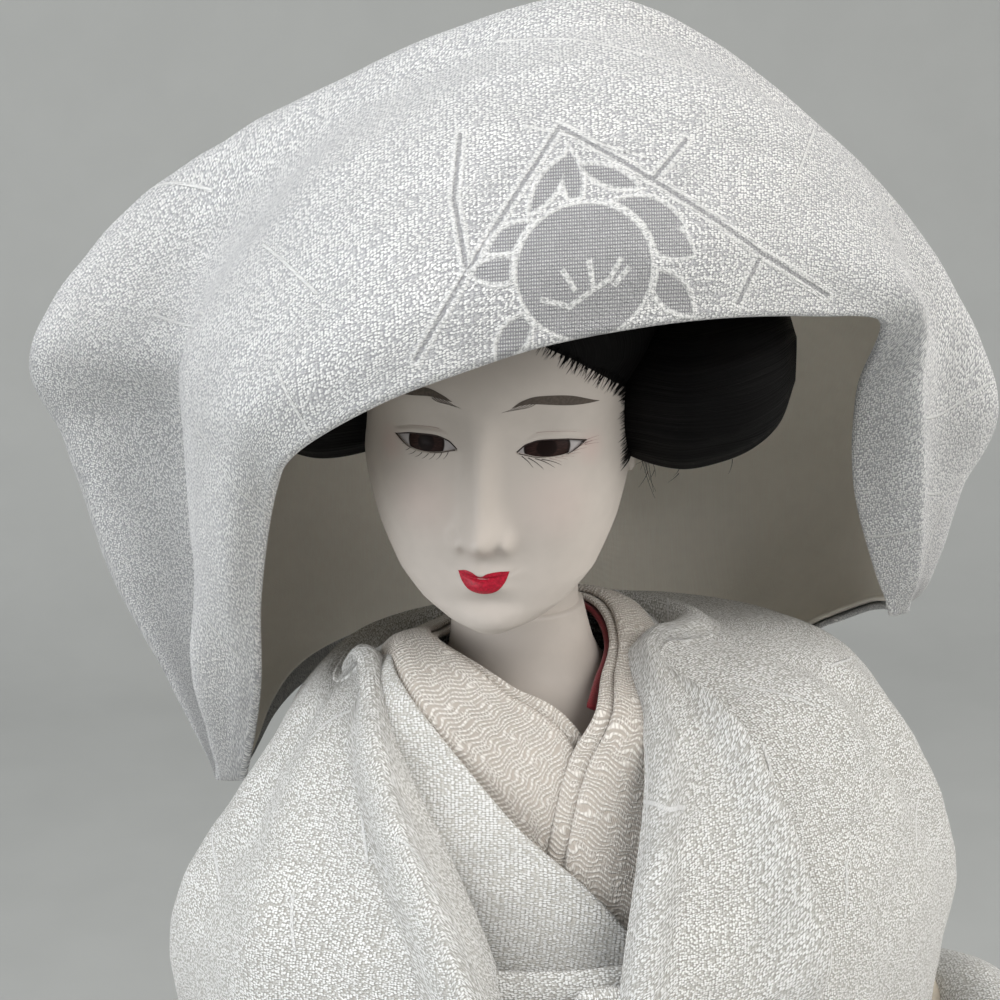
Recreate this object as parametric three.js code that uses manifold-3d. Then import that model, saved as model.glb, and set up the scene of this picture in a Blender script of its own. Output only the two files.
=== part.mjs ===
import * as THREE from "three";
import { mergeVertices } from "three/addons/utils/BufferGeometryUtils.js";
import Module from "manifold-3d";

const wasm = await Module();
wasm.setup();

// Driving dimensions, in millimetres. Front is -Y, up is +Z, origin at the bottom centre of the base.
const gap = 0.3;
const baseWidth = 240;
const baseDepth = 230;
const boardHeight = 22;
const boardCorner = 14;
const footHeight = 6;
const footRadius = 9;
const footInset = 26;
const legLength = 172;
const torsoLength = 138;
const torsoHalfWidth = 33;
const neckX = -3.5;
const neckY = 3;
const neckRadius = 10.5;
const pegRadius = 4;
const pegLength = 40;
const rodRadius = 2.5;
const nutRadius = 7;
const armRadius = 4.6;
const sleeveRoom = 1.2;
const cuffWall = 2;
const clothThickness = 1.0;
const collarThickness = 0.9;
const collarStep = 1.2;
const obiHeight = 35;
const obiThickness = 2.2;
const cordRadius = 1.6;
const headHalfWidth = 20;
const headYaw = -16;
const headNod = 8;
const wigHalfWidth = 43.5;
const topknotRise = 15.7;
const hoodSideRoom = 34.5;
const hoodCloth = 1.0;
const liningCloth = 0.8;
const eyeHalfLength = 4.6;
const eyeHalfHeight = 1.65;

// Heights that follow from them.
const floorTop = footHeight + boardHeight;
const hipZ = floorTop + legLength;
const neckZ = hipZ + torsoLength;
const obiTop = neckZ - 35;
const obiBottom = obiTop - obiHeight;
const headCentre = new THREE.Vector3(neckX - 4.5, neckY - 9, neckZ + 46);

const group = new THREE.Group();
const rad = THREE.MathUtils.degToRad;
const mix = THREE.MathUtils.lerp;
const step = THREE.MathUtils.smoothstep;
const point = (x, y, z) => new THREE.Vector3(x, y, z);
const range = (count) => Array.from({ length: count }, (_, i) => i);
const bell = (value, middle, width) => Math.exp(-(((value - middle) / width) ** 2));

// A smooth function through hand-set [position, value] pairs.
function profile(pairs) {
  const along = new THREE.CatmullRomCurve3(
    pairs.map(([at, value]) => point(at, value, 0)),
    false,
    "catmullrom",
    0.5,
  );
  const spans = pairs.length - 1;
  return (at) => {
    let i = 0;
    while (i < spans - 1 && at > pairs[i + 1][0]) i += 1;
    const share = (at - pairs[i][0]) / (pairs[i + 1][0] - pairs[i][0]);
    return along.getPoint((i + Math.min(1, Math.max(0, share))) / spans).y;
  };
}

// A smooth curve through 3D points, read at a share from 0 to 1 of its control points.
function track(points) {
  const curve = new THREE.CatmullRomCurve3(points, false, "catmullrom", 0.5);
  return (share) => curve.getPoint(Math.min(1, Math.max(0, share)));
}

// A closed solid's geometry from points and triangles, turned so that its faces look outwards.
function closed(points, faces) {
  let volume = 0;
  for (const [a, b, c] of faces)
    volume += points[a].dot(points[b].clone().cross(points[c]));
  const geometry = new THREE.BufferGeometry();
  const turned = volume < 0 ? faces.map(([a, b, c]) => [a, c, b]) : faces;
  geometry.setFromPoints(points);
  geometry.setIndex(turned.flat());
  return geometry;
}

// Rings of points joined into a solid with a cap at each end.
function loft(rings) {
  const points = rings.flat();
  const count = rings[0].length;
  const faces = [];
  for (let i = 0; i < rings.length - 1; i += 1)
    for (let j = 0; j < count; j += 1) {
      const k = (j + 1) % count;
      const a = i * count;
      const b = a + count;
      faces.push([a + j, a + k, b + k], [a + j, b + k, b + j]);
    }
  for (const [ring, flip] of [[0, true], [rings.length - 1, false]]) {
    const middle = new THREE.Vector3();
    for (const p of rings[ring]) middle.addScaledVector(p, 1 / count);
    const at = points.push(middle) - 1;
    for (let j = 0; j < count; j += 1) {
      const a = ring * count + j;
      const b = ring * count + ((j + 1) % count);
      faces.push(flip ? [at, b, a] : [at, a, b]);
    }
  }
  return closed(points, faces);
}

// The outward normals of a grid of points, judged by the points of an inner axis.
function gridNormals(grid, wrap, inner) {
  const rows = grid.length;
  const cols = grid[0].length;
  let sum = 0;
  const normals = grid.map((row, i) =>
    row.map((p, j) => {
      const up = grid[Math.min(i + 1, rows - 1)][j];
      const down = grid[Math.max(i - 1, 0)][j];
      const next = row[wrap ? (j + 1) % cols : Math.min(j + 1, cols - 1)];
      const last = row[wrap ? (j + cols - 1) % cols : Math.max(j - 1, 0)];
      const n = up.clone().sub(down).cross(next.clone().sub(last)).normalize();
      sum += n.dot(p.clone().sub(inner(p)));
      return n;
    }),
  );
  if (sum < 0) normals.flat().forEach((n) => n.negate());
  return normals;
}

// A sheet of cloth between two offsets of a grid; wrap closes it round into a tube wall.
function cloth(grid, outer, inner, { wrap = false, about } = {}) {
  const rows = grid.length;
  const cols = grid[0].length;
  const normals = gridNormals(grid, wrap, about);
  const shift = (by) => (p, i, j) =>
    p.clone().addScaledVector(normals[i][j], typeof by === "function" ? by(i, j) : by);
  const faceA = grid.map((row, i) => row.map((p, j) => shift(outer)(p, i, j)));
  const faceB = grid.map((row, i) => row.map((p, j) => shift(inner)(p, i, j)));
  const points = [...faceA.flat(), ...faceB.flat()];
  const half = rows * cols;
  const at = (i, j) => i * cols + (j % cols);
  const faces = [];
  const last = wrap ? cols : cols - 1;
  for (let i = 0; i < rows - 1; i += 1)
    for (let j = 0; j < last; j += 1) {
      const [a, b, c, d] = [at(i, j), at(i, j + 1), at(i + 1, j + 1), at(i + 1, j)];
      faces.push([a, b, c], [a, c, d]);
      faces.push([half + a, half + c, half + b], [half + a, half + d, half + c]);
    }
  for (let j = 0; j < last; j += 1) {
    const [a, b] = [at(0, j), at(0, j + 1)];
    const [c, d] = [at(rows - 1, j), at(rows - 1, j + 1)];
    faces.push([a, half + a, b], [b, half + a, half + b]);
    faces.push([c, d, half + c], [d, half + d, half + c]);
  }
  if (!wrap)
    for (let i = 0; i < rows - 1; i += 1) {
      const [a, b] = [at(i, 0), at(i + 1, 0)];
      const [c, d] = [at(i, cols - 1), at(i + 1, cols - 1)];
      faces.push([a, b, half + a], [b, half + b, half + a]);
      faces.push([c, half + c, d], [d, half + c, half + d]);
    }
  return closed(points, faces);
}

// A solid rod with round sections along a 3D track.
function rod(path, radius, steps, sides) {
  let u = null;
  const rings = range(steps + 1).map((i) => {
    const share = i / steps;
    const at = path(share);
    const along = path(Math.min(1, share + 0.02)).sub(path(Math.max(0, share - 0.02))).normalize();
    if (!u) u = point(along.z, along.x, along.y);
    u = u.clone().addScaledVector(along, -u.dot(along)).normalize();
    const v = along.clone().cross(u);
    const r = typeof radius === "function" ? radius(share) : radius;
    return range(sides).map((j) => {
      const a = (j / sides) * Math.PI * 2;
      return at.clone().addScaledVector(u, Math.cos(a) * r).addScaledVector(v, Math.sin(a) * r);
    });
  });
  return loft(rings);
}

// An egg-shaped ring: half-width, depth to the front and depth to the back.
function oval(x, y, z, width, front, back, count, square = 1) {
  return range(count).map((j) => {
    const a = (j / count) * Math.PI * 2;
    const c = Math.sign(Math.cos(a)) * Math.abs(Math.cos(a)) ** square;
    const s = Math.sign(Math.sin(a)) * Math.abs(Math.sin(a)) ** square;
    return point(x + width * s, y - (c > 0 ? front : back) * c, z);
  });
}

function ovalLoft(levels, count, x = 0, y = 0) {
  return loft(levels.map(([z, w, f, b]) => oval(x, y, z, w, f, b, count)));
}

function solidOf(geometry) {
  const bare = new THREE.BufferGeometry();
  bare.setAttribute("position", geometry.getAttribute("position"));
  bare.setIndex(geometry.index);
  const merged = mergeVertices(bare, 1e-4);
  const mesh = new wasm.Mesh({
    numProp: 3,
    vertProperties: new Float32Array(merged.attributes.position.array),
    triVerts: new Uint32Array(merged.index.array),
  });
  return new wasm.Manifold(mesh);
}

// The largest body of a solid, as a geometry.
function geometryOf(solid) {
  const bodies = solid.decompose().sort((a, b) => b.volume() - a.volume());
  const mesh = bodies[0].getMesh();
  const points = range(mesh.numVert).map((i) =>
    point(...mesh.vertProperties.slice(i * mesh.numProp, i * mesh.numProp + 3)),
  );
  const geometry = new THREE.BufferGeometry().setFromPoints(points);
  geometry.setIndex(new THREE.BufferAttribute(new Uint32Array(mesh.triVerts), 1));
  return geometry;
}

function cut(geometry, ...tools) {
  let solid = solidOf(geometry);
  for (const tool of tools) solid = solid.subtract(solidOf(tool));
  return geometryOf(solid);
}

function join(...parts) {
  let solid = solidOf(parts[0]);
  for (const part of parts.slice(1)) solid = solid.add(solidOf(part));
  return geometryOf(solid);
}

function cylinder(x, y, z0, z1, radius, sides) {
  const made = new THREE.CylinderGeometry(radius, radius, z1 - z0, sides);
  made.rotateX(Math.PI / 2);
  made.translate(x, y, (z0 + z1) / 2);
  return made;
}

const finish = (colour, roughness, metalness = 0) => ({ color: colour, roughness, metalness });
const brocade = finish("#efeeea", 0.55);
const plainSilk = finish("#f2f1ee", 0.7);
const crepe = finish("#e6ded0", 0.7);
const redSilk = finish("#7d1320", 0.6);
const skin = finish("#f1ece4", 0.5);
const hair = finish("#0b0a0b", 0.35);
const glass = finish("#241610", 0.08);
const lacquer = finish("#140d0c", 0.2);
const steel = finish("#b9bcc0", 0.35, 1);
const straw = finish("#c9ab72", 0.9);
const wrap = finish("#e9e4da", 0.85);
const wood = finish("#b98d5a", 0.6);
const gold = finish("#d8c48a", 0.5);

// The scene graph has one group for each section of the doll, and each mesh turns about its own middle.
let section = group;
function open(title) {
  section = new THREE.Group();
  section.name = title;
  group.add(section);
}
function add(name, geometry, look) {
  const mesh = new THREE.Mesh(geometry, new THREE.MeshStandardMaterial(look));
  geometry.computeBoundingBox();
  geometry.boundingBox.getCenter(mesh.position);
  geometry.translate(-mesh.position.x, -mesh.position.y, -mesh.position.z);
  mesh.name = name;
  section.add(mesh);
}

open("stand");
// Base: board with rounded corners and a softened top edge, four feet, rod, washer and nut.
function roundedOutline(width, depth, corner) {
  const [x, y] = [width / 2, depth / 2];
  const shape = new THREE.Shape();
  shape.moveTo(-x + corner, -y);
  shape.lineTo(x - corner, -y);
  shape.absarc(x - corner, -y + corner, corner, -Math.PI / 2, 0);
  shape.lineTo(x, y - corner);
  shape.absarc(x - corner, y - corner, corner, 0, Math.PI / 2);
  shape.lineTo(-x + corner, y);
  shape.absarc(-x + corner, y - corner, corner, Math.PI / 2, Math.PI);
  shape.lineTo(-x, -y + corner);
  shape.absarc(-x + corner, -y + corner, corner, Math.PI, Math.PI * 1.5);
  return shape;
}
const edgeRound = 2.5;
const board = new THREE.ExtrudeGeometry(
  roundedOutline(baseWidth - 2 * edgeRound, baseDepth - 2 * edgeRound, boardCorner - edgeRound),
  {
    depth: boardHeight - 2 * edgeRound,
    curveSegments: 4,
    bevelEnabled: true,
    bevelThickness: edgeRound,
    bevelSize: edgeRound,
    bevelSegments: 1,
  },
);
board.translate(0, 0, footHeight + edgeRound);
const recessTop = footHeight + 8;
add(
  "base_board",
  cut(
    board,
    cylinder(0, 0, footHeight - 1, floorTop + 1, rodRadius + gap, 12),
    cylinder(0, 0, footHeight - 1, recessTop, nutRadius + 3, 16),
  ),
  lacquer,
);
for (const [name, sx, sy] of [
  ["base_foot_front_left", -1, -1],
  ["base_foot_front_right", 1, -1],
  ["base_foot_back_left", -1, 1],
  ["base_foot_back_right", 1, 1],
]) {
  const x = sx * (baseWidth / 2 - footInset);
  const y = sy * (baseDepth / 2 - footInset);
  add(name, cylinder(x, y, 0, footHeight - gap, footRadius, 14), lacquer);
}
const nutTop = recessTop - 1.8;
add("rod_nut", cut(cylinder(0, 0, nutTop - 3.6, nutTop, nutRadius - 1, 6),
  cylinder(0, 0, 0, floorTop, rodRadius + gap, 12)), steel);
add("rod_washer", cut(cylinder(0, 0, nutTop + gap, recessTop - gap, nutRadius + 1.5, 16),
  cylinder(0, 0, 0, floorTop, rodRadius + gap, 12)), steel);
const rodTop = neckZ - 70;
add("stand_rod", cylinder(0, 0, footHeight + 1.5, rodTop, rodRadius, 12), steel);

open("core");
// Body core: straw torso, legs, neck bush and peg.
const chestSlope = 0.4;
const chestFront = (z) => 22.5 + (neckZ - 2 - z) * chestSlope;
const coreLevels = [
  [hipZ, 26, 22, 22],
  [hipZ + 20, torsoHalfWidth - 2, 27, 24],
  [obiBottom, torsoHalfWidth - 2, 30, 24],
  [obiTop, torsoHalfWidth, chestFront(obiTop) - 3, 25],
  [neckZ - 20, torsoHalfWidth - 1, chestFront(neckZ - 20) - 3.5, 25],
  [neckZ - 11, torsoHalfWidth - 8, chestFront(neckZ - 11) - 6, 21],
];
const plateLevels = [
  [neckZ - 11 + gap, torsoHalfWidth - 9, chestFront(neckZ - 11) - 4.5, 19],
  [neckZ - 8, 20, 19.5, 17],
  [neckZ - 5.5, 15.5, 15, 15],
  [neckZ - 3.7, 12.5, 10.5, 14],
];
const bushRadius = pegRadius + 2.5;
const bushTop = neckZ - 11;
const bushBottom = neckZ - 4 - pegLength;
add(
  "torso_core",
  cut(
    ovalLoft(coreLevels, 22),
    cylinder(0, 0, hipZ - 1, rodTop + gap, rodRadius + gap, 12),
    cylinder(neckX, neckY, bushBottom - gap, neckZ, bushRadius + gap, 20),
  ),
  straw,
);
add("neck_bush", cut(cylinder(neckX, neckY, bushBottom, bushTop, bushRadius, 16),
  cylinder(neckX, neckY, bushBottom + 3, neckZ, pegRadius + gap, 16)), wood);
add("bust_plate", cut(ovalLoft(plateLevels, 24, neckX * 0.6, 0),
  cylinder(neckX, neckY, neckZ - 20, neckZ, pegRadius + gap, 16)), skin);
add("neck_peg", cylinder(neckX, neckY, bushBottom + 3.4, neckZ + 8, pegRadius, 16), wood);

const ankleZ = floorTop + 14;
for (const [name, side] of [["leg_left", 1], ["leg_right", -1]]) {
  const x = side * 13;
  const foot = loft(
    range(6).map((i) => {
      const share = i / 5;
      const y = mix(10, -24, share);
      const w = [5, 7.5, 7, 7.5, 8, 5][i];
      const h = [13, 14, 12, 9, 7, 4.5][i];
      return range(12).map((j) => {
        const a = (j / 12) * Math.PI * 2;
        const z = Math.max(0, h / 2 + (h / 2) * Math.sin(a) * 1.15);
        return point(x + w * Math.cos(a), y, floorTop + gap + z);
      });
    }),
  );
  const shin = ovalLoft(
    [
      [floorTop + gap + 4, 6, 6, 6],
      [ankleZ, 6.2, 6, 6.5],
      [mix(ankleZ, hipZ, 0.45), 9, 8.5, 9.5],
      [hipZ - gap, 10, 10, 10],
    ],
    12,
    x,
    2,
  );
  add(name, join(foot, shin), wrap);
}

open("head_and_wig");
// Head, in its own frame: X to the viewer's right, face to -Y, then turned, nodded and placed.
const placeHead = new THREE.Matrix4()
  .makeTranslation(headCentre.x, headCentre.y, headCentre.z)
  .multiply(new THREE.Matrix4().makeRotationZ(rad(headYaw)))
  .multiply(new THREE.Matrix4().makeRotationX(rad(headNod)));
const placed = (geometry) => geometry.applyMatrix4(placeHead);
const grow = headHalfWidth / 20;
const headWidth = profile([
  [-28, 3.4], [-26.5, 7.6], [-24, 11.4], [-20, 14.9], [-14, 17.7], [-6, 19.5], [2, 20],
  [10, 20], [17, 18.6], [23, 15], [27.5, 9.5], [30, 2],
]);
const headFront = profile([
  [-28, 4], [-26.5, 6.8], [-24, 9.5], [-20, 13.4], [-14, 16.8], [-6, 19.4], [2, 20.6],
  [10, 22.6], [17, 21.5], [23, 17.5], [27.5, 11], [30, 2],
]);
const headBack = profile([
  [-28, 3], [-26.5, 5], [-24, 8], [-20, 14], [-14, 19.5], [-6, 23.5], [2, 25.5],
  [10, 26.5], [17, 25], [23, 20], [27.5, 12.5], [30, 2],
]);
const headMiddle = profile([
  [-28, -18], [-26.5, -15.8], [-24, -13.4], [-20, -9.6], [-14, -5.6], [-6, -2.4], [2, -1],
  [10, -0.6], [30, 0],
]);
const noseHeight = profile([
  [-18, 0], [-15.2, 0.1], [-13.6, 1.6], [-12.4, 4.2], [-11, 5.1], [-8.5, 4.4], [-4, 2.6],
  [1, 1.2], [5, 0.5], [9, 0],
]);
const noseWidth = profile([[-15, 3.6], [-11, 3.1], [-5, 2.5], [2, 2.3], [9, 3.2]]);
function faceRelief(x, z) {
  const nose = noseHeight(z) * bell(x, 0, noseWidth(z));
  const upperLip = 0.9 * bell(x, 0, 4.4) * bell(z, -17.7, 1.2);
  const lowerLip = 1.2 * bell(x, 0, 3.8) * bell(z, -20.3, 1.3);
  const chin = 1.3 * bell(x, 0, 5) * bell(z, -25.2, 2.4);
  const cheek = 0.9 * bell(Math.abs(x), 10, 5.5) * bell(z, -9, 6.5);
  const jowl = 0.9 * bell(Math.abs(x), 14, 5) * bell(z, -7, 8);
  const socket = -1.3 * bell(Math.abs(x), 7.2, 4.2) * bell(z, 4.2, 3.4);
  const lid = 0.9 * bell(Math.abs(x), 9, 4.4) * bell(z, 1.8, 3);
  return nose + upperLip + lowerLip + chin + cheek + jowl + socket + lid;
}
// A point of the head's skin at an angle from the face's middle line and a height; extra grows the skull.
function headPoint(angle, z, extra = 0, relief = 1) {
  const c = Math.cos(angle);
  const s = Math.sin(angle);
  const x = (headWidth(z) + extra) * Math.sign(s) * Math.abs(s) ** 0.92;
  const depth = c > 0 ? headFront(z) + extra : headBack(z) + extra;
  let y = headMiddle(z) - depth * Math.sign(c) * Math.abs(c) ** 0.92;
  if (c > 0) y -= relief * faceRelief(x, z) * step(c, 0.05, 0.5);
  return point(x * grow, y * grow, z * grow);
}
const faceAngles = [
  ...range(23).map((i) => rad(mix(-84, 84, i / 22))),
  ...range(7).map((i) => rad(mix(104, 256, i / 6))),
];
const faceLevels = [
  -28, -26.5, -24.6, -22.4, -20.4, -19, -17.6, -15.6, -13.8, -12.4, -10.8, -8, -4.5,
  -1, 1.8, 4.5, 8, 13, 18, 23, 27.4, 30,
];
function skullSolid(extra, relief, levels = faceLevels, angles = faceAngles) {
  return loft(levels.map((z) => angles.map((a) => headPoint(a, z + 0, extra, relief))));
}
// An almond-shaped prism through the face at an eye.
function eyePrism(side, trim, back, front) {
  const outline = range(14).map((i) => {
    const a = (i / 14) * Math.PI * 2;
    const along = Math.cos(a) * (eyeHalfLength - trim);
    const arch = Math.sin(a);
    const high = arch > 0 ? eyeHalfHeight : eyeHalfHeight * 0.86;
    const up = Math.sign(arch) * Math.abs(arch) ** 1.25 * (high - trim);
    return [along, up + along * 0.13];
  });
  return loft(
    [back, front].map((y) =>
      outline.map(([along, up]) => point(side * (8.9 + along) * grow, y * grow, (1.8 + up) * grow)),
    ),
  );
}
const eyeBack = -12;
const neckTop = point(0, 4, -12).applyMatrix4(placeHead);
const neckTrack = track([
  point(neckX, neckY, neckZ - 3.3),
  point(neckX, neckY, neckZ + 3),
  point(mix(neckX, neckTop.x, 0.35), mix(neckY, neckTop.y, 0.35), neckZ + 12),
  point(mix(neckX, neckTop.x, 0.8), mix(neckY, neckTop.y, 0.8), mix(neckZ, neckTop.z, 0.75)),
  neckTop,
]);
const neckRadii = profile([[0, 1.06], [0.25, 1], [0.5, 0.93], [0.75, 0.98], [1, 1.05]]);
const neckSolid = loft(
  range(7).map((i) => {
    const share = i / 6;
    const at = neckTrack(share);
    const r = neckRadius * neckRadii(share);
    return range(18).map((j) => {
      const a = (j / 18) * Math.PI * 2;
      return point(at.x + Math.cos(a) * r, at.y + Math.sin(a) * r, at.z);
    });
  }),
);
function earSolid(side) {
  const rings = [[0, 0.75], [1.6, 1], [3, 0.5]].map(([out, size]) =>
    range(10).map((j) => {
      const a = (j / 10) * Math.PI * 2;
      return point(
        side * (17.6 + out) * grow,
        (2.5 + Math.cos(a) * 3.4 * size + out * 0.5) * grow,
        (-2.5 + Math.sin(a) * 5.2 * size) * grow,
      );
    }),
  );
  return placed(loft(rings));
}
const pegHole = cylinder(neckX, neckY, neckZ - 6, neckZ + 8 + gap, pegRadius + gap, 16);
add(
  "head",
  cut(
    join(placed(skullSolid(0, 1)), neckSolid, earSolid(1), earSolid(-1)),
    pegHole,
    placed(eyePrism(1, 0, eyeBack, -40)),
    placed(eyePrism(-1, 0, eyeBack, -40)),
  ),
  skin,
);
for (const [name, side] of [["eye_left", 1], ["eye_right", -1]]) {
  const ball = new THREE.SphereGeometry(9.2 * grow, 18, 12);
  ball.translate(side * 8.4 * grow, -10.6 * grow, 1.4 * grow);
  const eye = solidOf(ball).intersect(solidOf(eyePrism(side, 0.22, eyeBack - gap, -40)));
  add(name, placed(geometryOf(eye)), glass);
}

// Wig: a cap round the skull, two side wings, back lock and topknot.
const capLevels = [
  [-12, 12, -2, 22], [-7, 19.5, 1.5, 27.5], [0, 22.6, 6.5, 30], [7, 23.6, 14, 31.2],
  [12, 24, 20, 31.5], [16, 24, 25.5, 31.4], [21, 23, 26.5, 30], [27, 19.5, 23, 26.5],
  [33, 12.5, 14.5, 18], [36, 4, 5, 6],
];
const capSolid = (extra) =>
  ovalLoft(
    capLevels.map(([z, w, f, b], i) => {
      const lift = i === 0 ? -extra : i === capLevels.length - 1 ? extra : 0;
      return [z * grow + lift, w * grow + extra, f * grow + extra, b * grow + extra];
    }),
    18,
  );
const coarseAngles = range(18).map((i) => (i / 18) * Math.PI * 2);
const coarseLevels = [-28, -24, -19, -12, -4, 3, 10, 16, 21, 25, 28, 30, 30.8];
const skullRoom = () => placed(skullSolid(gap + 1.3, 0, coarseLevels, coarseAngles));
const neckRoom = loft(
  range(5).map((i) => {
    const at = neckTrack(0.4 + i * 0.15);
    return range(14).map((j) => {
      const a = (j / 14) * Math.PI * 2;
      const r = neckRadius + 1.2;
      return point(at.x + Math.cos(a) * r, at.y + Math.sin(a) * r, at.z);
    });
  }),
);
const earRoom = (side) => {
  const ball = new THREE.SphereGeometry(1, 12, 8);
  ball.scale(5.2, 4.9, 6.4);
  ball.translate(side * 18.2 * grow, 3.3 * grow, -2.5 * grow);
  return placed(ball);
};
add("wig_cap", cut(placed(capSolid(0)), skullRoom(), neckRoom, earRoom(1), earRoom(-1)), hair);
const wing = [
  [14, 9, 8, 4], [20, 13.5, 11.2, 4.2], [27, 16, 12.4, 4.6], [33, 15.5, 11.8, 5.4],
  [38, 12.5, 9.6, 6.4], [41.5, 8, 6.4, 7.4], [43.5, 2.6, 2.2, 8],
];
for (const [name, side] of [["side_lock_left", 1], ["side_lock_right", -1]]) {
  const reach = wigHalfWidth / 43.5;
  const rings = wing.map(([x, deep, high, z]) =>
    range(14).map((j) => {
      const a = (j / 14) * Math.PI * 2;
      const c = Math.sign(Math.cos(a)) * Math.abs(Math.cos(a)) ** 0.85;
      const s = Math.sign(Math.sin(a)) * Math.abs(Math.sin(a)) ** 0.85;
      return point(side * x * reach, 2 + c * deep * grow, (z + s * high) * grow);
    }),
  );
  add(name, cut(placed(loft(rings)), placed(capSolid(gap + 0.35)), skullRoom(), earRoom(side)), hair);
}
const egg = (x, y, z, rx, ry, rz, across = 14, down = 9) => {
  const ball = new THREE.SphereGeometry(1, across, down);
  ball.rotateX(Math.PI / 2);
  ball.scale(rx, ry, rz);
  ball.translate(x, y, z);
  return ball;
};
const backLock = placed(egg(0, 29 * grow, 0, 15, 13, 12));
add("back_lock", cut(backLock, placed(capSolid(gap + 0.35)), skullRoom(), neckRoom), hair);
const topknot = placed(egg(0, 3 * grow, 37.3 * grow, 13, 16, topknotRise));
add("topknot", cut(topknot, placed(capSolid(gap + 0.35))), hair);

open("hood");
// Hood: a net of hand-set points from the front rim to the back hem, stations run from the left tip over
// the top to the right tip. Heights are from the neck. It scales with the wig it goes round.
const hoodNet = [
  [
    [-49, 25, -25], [-51, 26, -25.3], [-52.5, 27.5, -25.8], [-53.2, 29.2, -26.2],
    [-53, 31, -26.5], [-51, 33, -26.5], [-48, 34, -26],
  ],
  [
    [-46.7, 6, -2], [-50.5, 6, 0], [-56.5, 9, 0], [-53.5, 20, -1],
    [-62, 23, -2], [-56, 37, -11], [-43, 42, -20],
  ],
  [
    [-46.2, -8, 17.7], [-51.5, -9, 20], [-60, -1, 19], [-56, 13, 17],
    [-68.5, 19, 14], [-60, 42, 2], [-37, 48, -16],
  ],
  [
    [-44.5, -25, 38], [-51, -25.5, 42], [-61, -11, 43], [-57.5, 5, 41],
    [-75, 14, 39], [-61, 46, 15], [-30, 52, -14],
  ],
  [
    [-42.5, -38, 47], [-49, -37, 54], [-59.5, -22, 59], [-60.5, -4, 56],
    [-79, 8, 55], [-57, 48, 28], [-22, 55, -13],
  ],
  [
    [-32.5, -48, 55.6], [-38, -46, 65], [-49, -28, 74], [-53.5, -3, 73],
    [-63.3, 15, 74], [-47, 49, 41], [-14, 57, -12],
  ],
  [
    [-21.2, -52, 60.7], [-25, -50, 72], [-33, -32, 85], [-35, -12, 90],
    [-37, 8, 90], [-28, 49, 54], [-6, 58, -12],
  ],
  [
    [-8.1, -52, 64.3], [-8, -50, 77], [-6, -34, 94], [-4, -20, 102],
    [-2, -6, 104.2], [0, 46, 65], [2, 58.5, -12],
  ],
  [
    [12, -46, 65.6], [14, -44.5, 78], [19, -30, 94], [21, -16, 98],
    [22, -3, 97.5], [26, 46, 54], [10, 58, -11],
  ],
  [
    [31.7, -36, 64], [34.5, -35, 74], [42, -22, 82], [45.5, -7, 77],
    [53.3, 8, 76], [46, 47, 39], [18, 57, -10],
  ],
  [
    [44.1, -28, 61], [50, -28.5, 64.5], [57, -14, 64], [60, -1, 58.5],
    [68.4, 10, 58], [56, 46, 27], [26, 55, -9],
  ],
  [
    [44.6, -14.5, 48], [53.5, -20.5, 50.5], [61.5, -8.5, 48.5], [66, 3, 43],
    [77.4, 10, 39], [62, 44, 16], [34, 52, -7],
  ],
  [
    [48, -4, 31], [57.5, -11.5, 33], [63.5, -3, 32.5], [66, 6, 29],
    [73, 12, 25], [63, 38, 10], [42, 46, -5],
  ],
  [
    [54.8, 2, 14.5], [60.5, -3, 16], [63.5, 2, 15], [65, 8, 12],
    [68, 12, 9], [62, 30, 2], [49, 37, -3],
  ],
  [
    [60, 5, 6], [62, 5.6, 5.8], [63.6, 8, 5.3], [64, 10.5, 4.6],
    [63.5, 13, 4], [61, 19, 2], [56, 24, 0],
  ],
];
const hoodCentre = point(headCentre.x + 8, headCentre.y + 6, headCentre.z - 46);
const hoodSpread = (wigHalfWidth + hoodSideRoom) / 78;
function hoodGrid(stations, rings) {
  const tracks = range(7).map((k) =>
    track(
      hoodNet.map((row) => {
        const [x, y, z] = row[k];
        return point(x * hoodSpread, y, z).add(hoodCentre);
      }),
    ),
  );
  return range(stations).map((i) => {
    const across = track(tracks.map((along) => along(i / (stations - 1))));
    return range(rings).map((j) => across(j / (rings - 1)));
  });
}
const hoodAbout = () => headCentre;
const hoodSurface = hoodGrid(22, 13);
add("hood_outer", cloth(hoodSurface, 0, -hoodCloth, { about: hoodAbout }), brocade);
const liningTop = -hoodCloth - gap;
add("hood_lining", cloth(hoodSurface, liningTop, liningTop - liningCloth, { about: hoodAbout }), plainSilk);

open("kimono");
// Collars: strips of one surface that runs from the nape round the neck to the sash. For each side three
// guide lines give the inner edge, the half collar's outer edge and the kimono collar's outer edge.
const guideRight = [
  [[0, 15.2, 8.5], [11.5, 9.5, 9.5], [13.6, -2, 6], [7.4, -17.5, 0.8], [1.5, -25.5, -9], [-5.5, -36, -37]],
  [[0, 24, 4], [17, 16, 6.5], [20.5, -2, 4], [20, -16, -5], [16, -26, -17], [10, -36, -37]],
  [[0, 34, -9], [28, 22, -8], [35, 1, -8], [35, -18, -14], [36, -28, -25], [38, -34, -41]],
];
const guideLeft = [
  [[0, 15.2, 8.5], [-11, 9.5, 5], [-15, -6, 8.5], [-6.5, -18, 5.5], [5, -25, -3.5], [19, -36, -36]],
  [[0, 24, 4], [-17, 16, 1], [-20, -5, 7], [-17.5, -16.5, 2], [-4.5, -27, -14], [12.5, -36, -36]],
  [[0, 34, -9], [-29, 22, -11], [-36, 1, -8], [-33, -18, -14], [-25, -30, -25], [-16, -34, -41]],
];
const guideWidths = [0, 14, 36];
const chestY = (x, z) => -chestFront(z) + 0.013 * x * x;
const sideTracks = [guideLeft, guideRight].map((guides) =>
  guides.map((line) => track(line.map(([x, y, z]) => point(x + neckX, y, z + neckZ)))),
);
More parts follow.
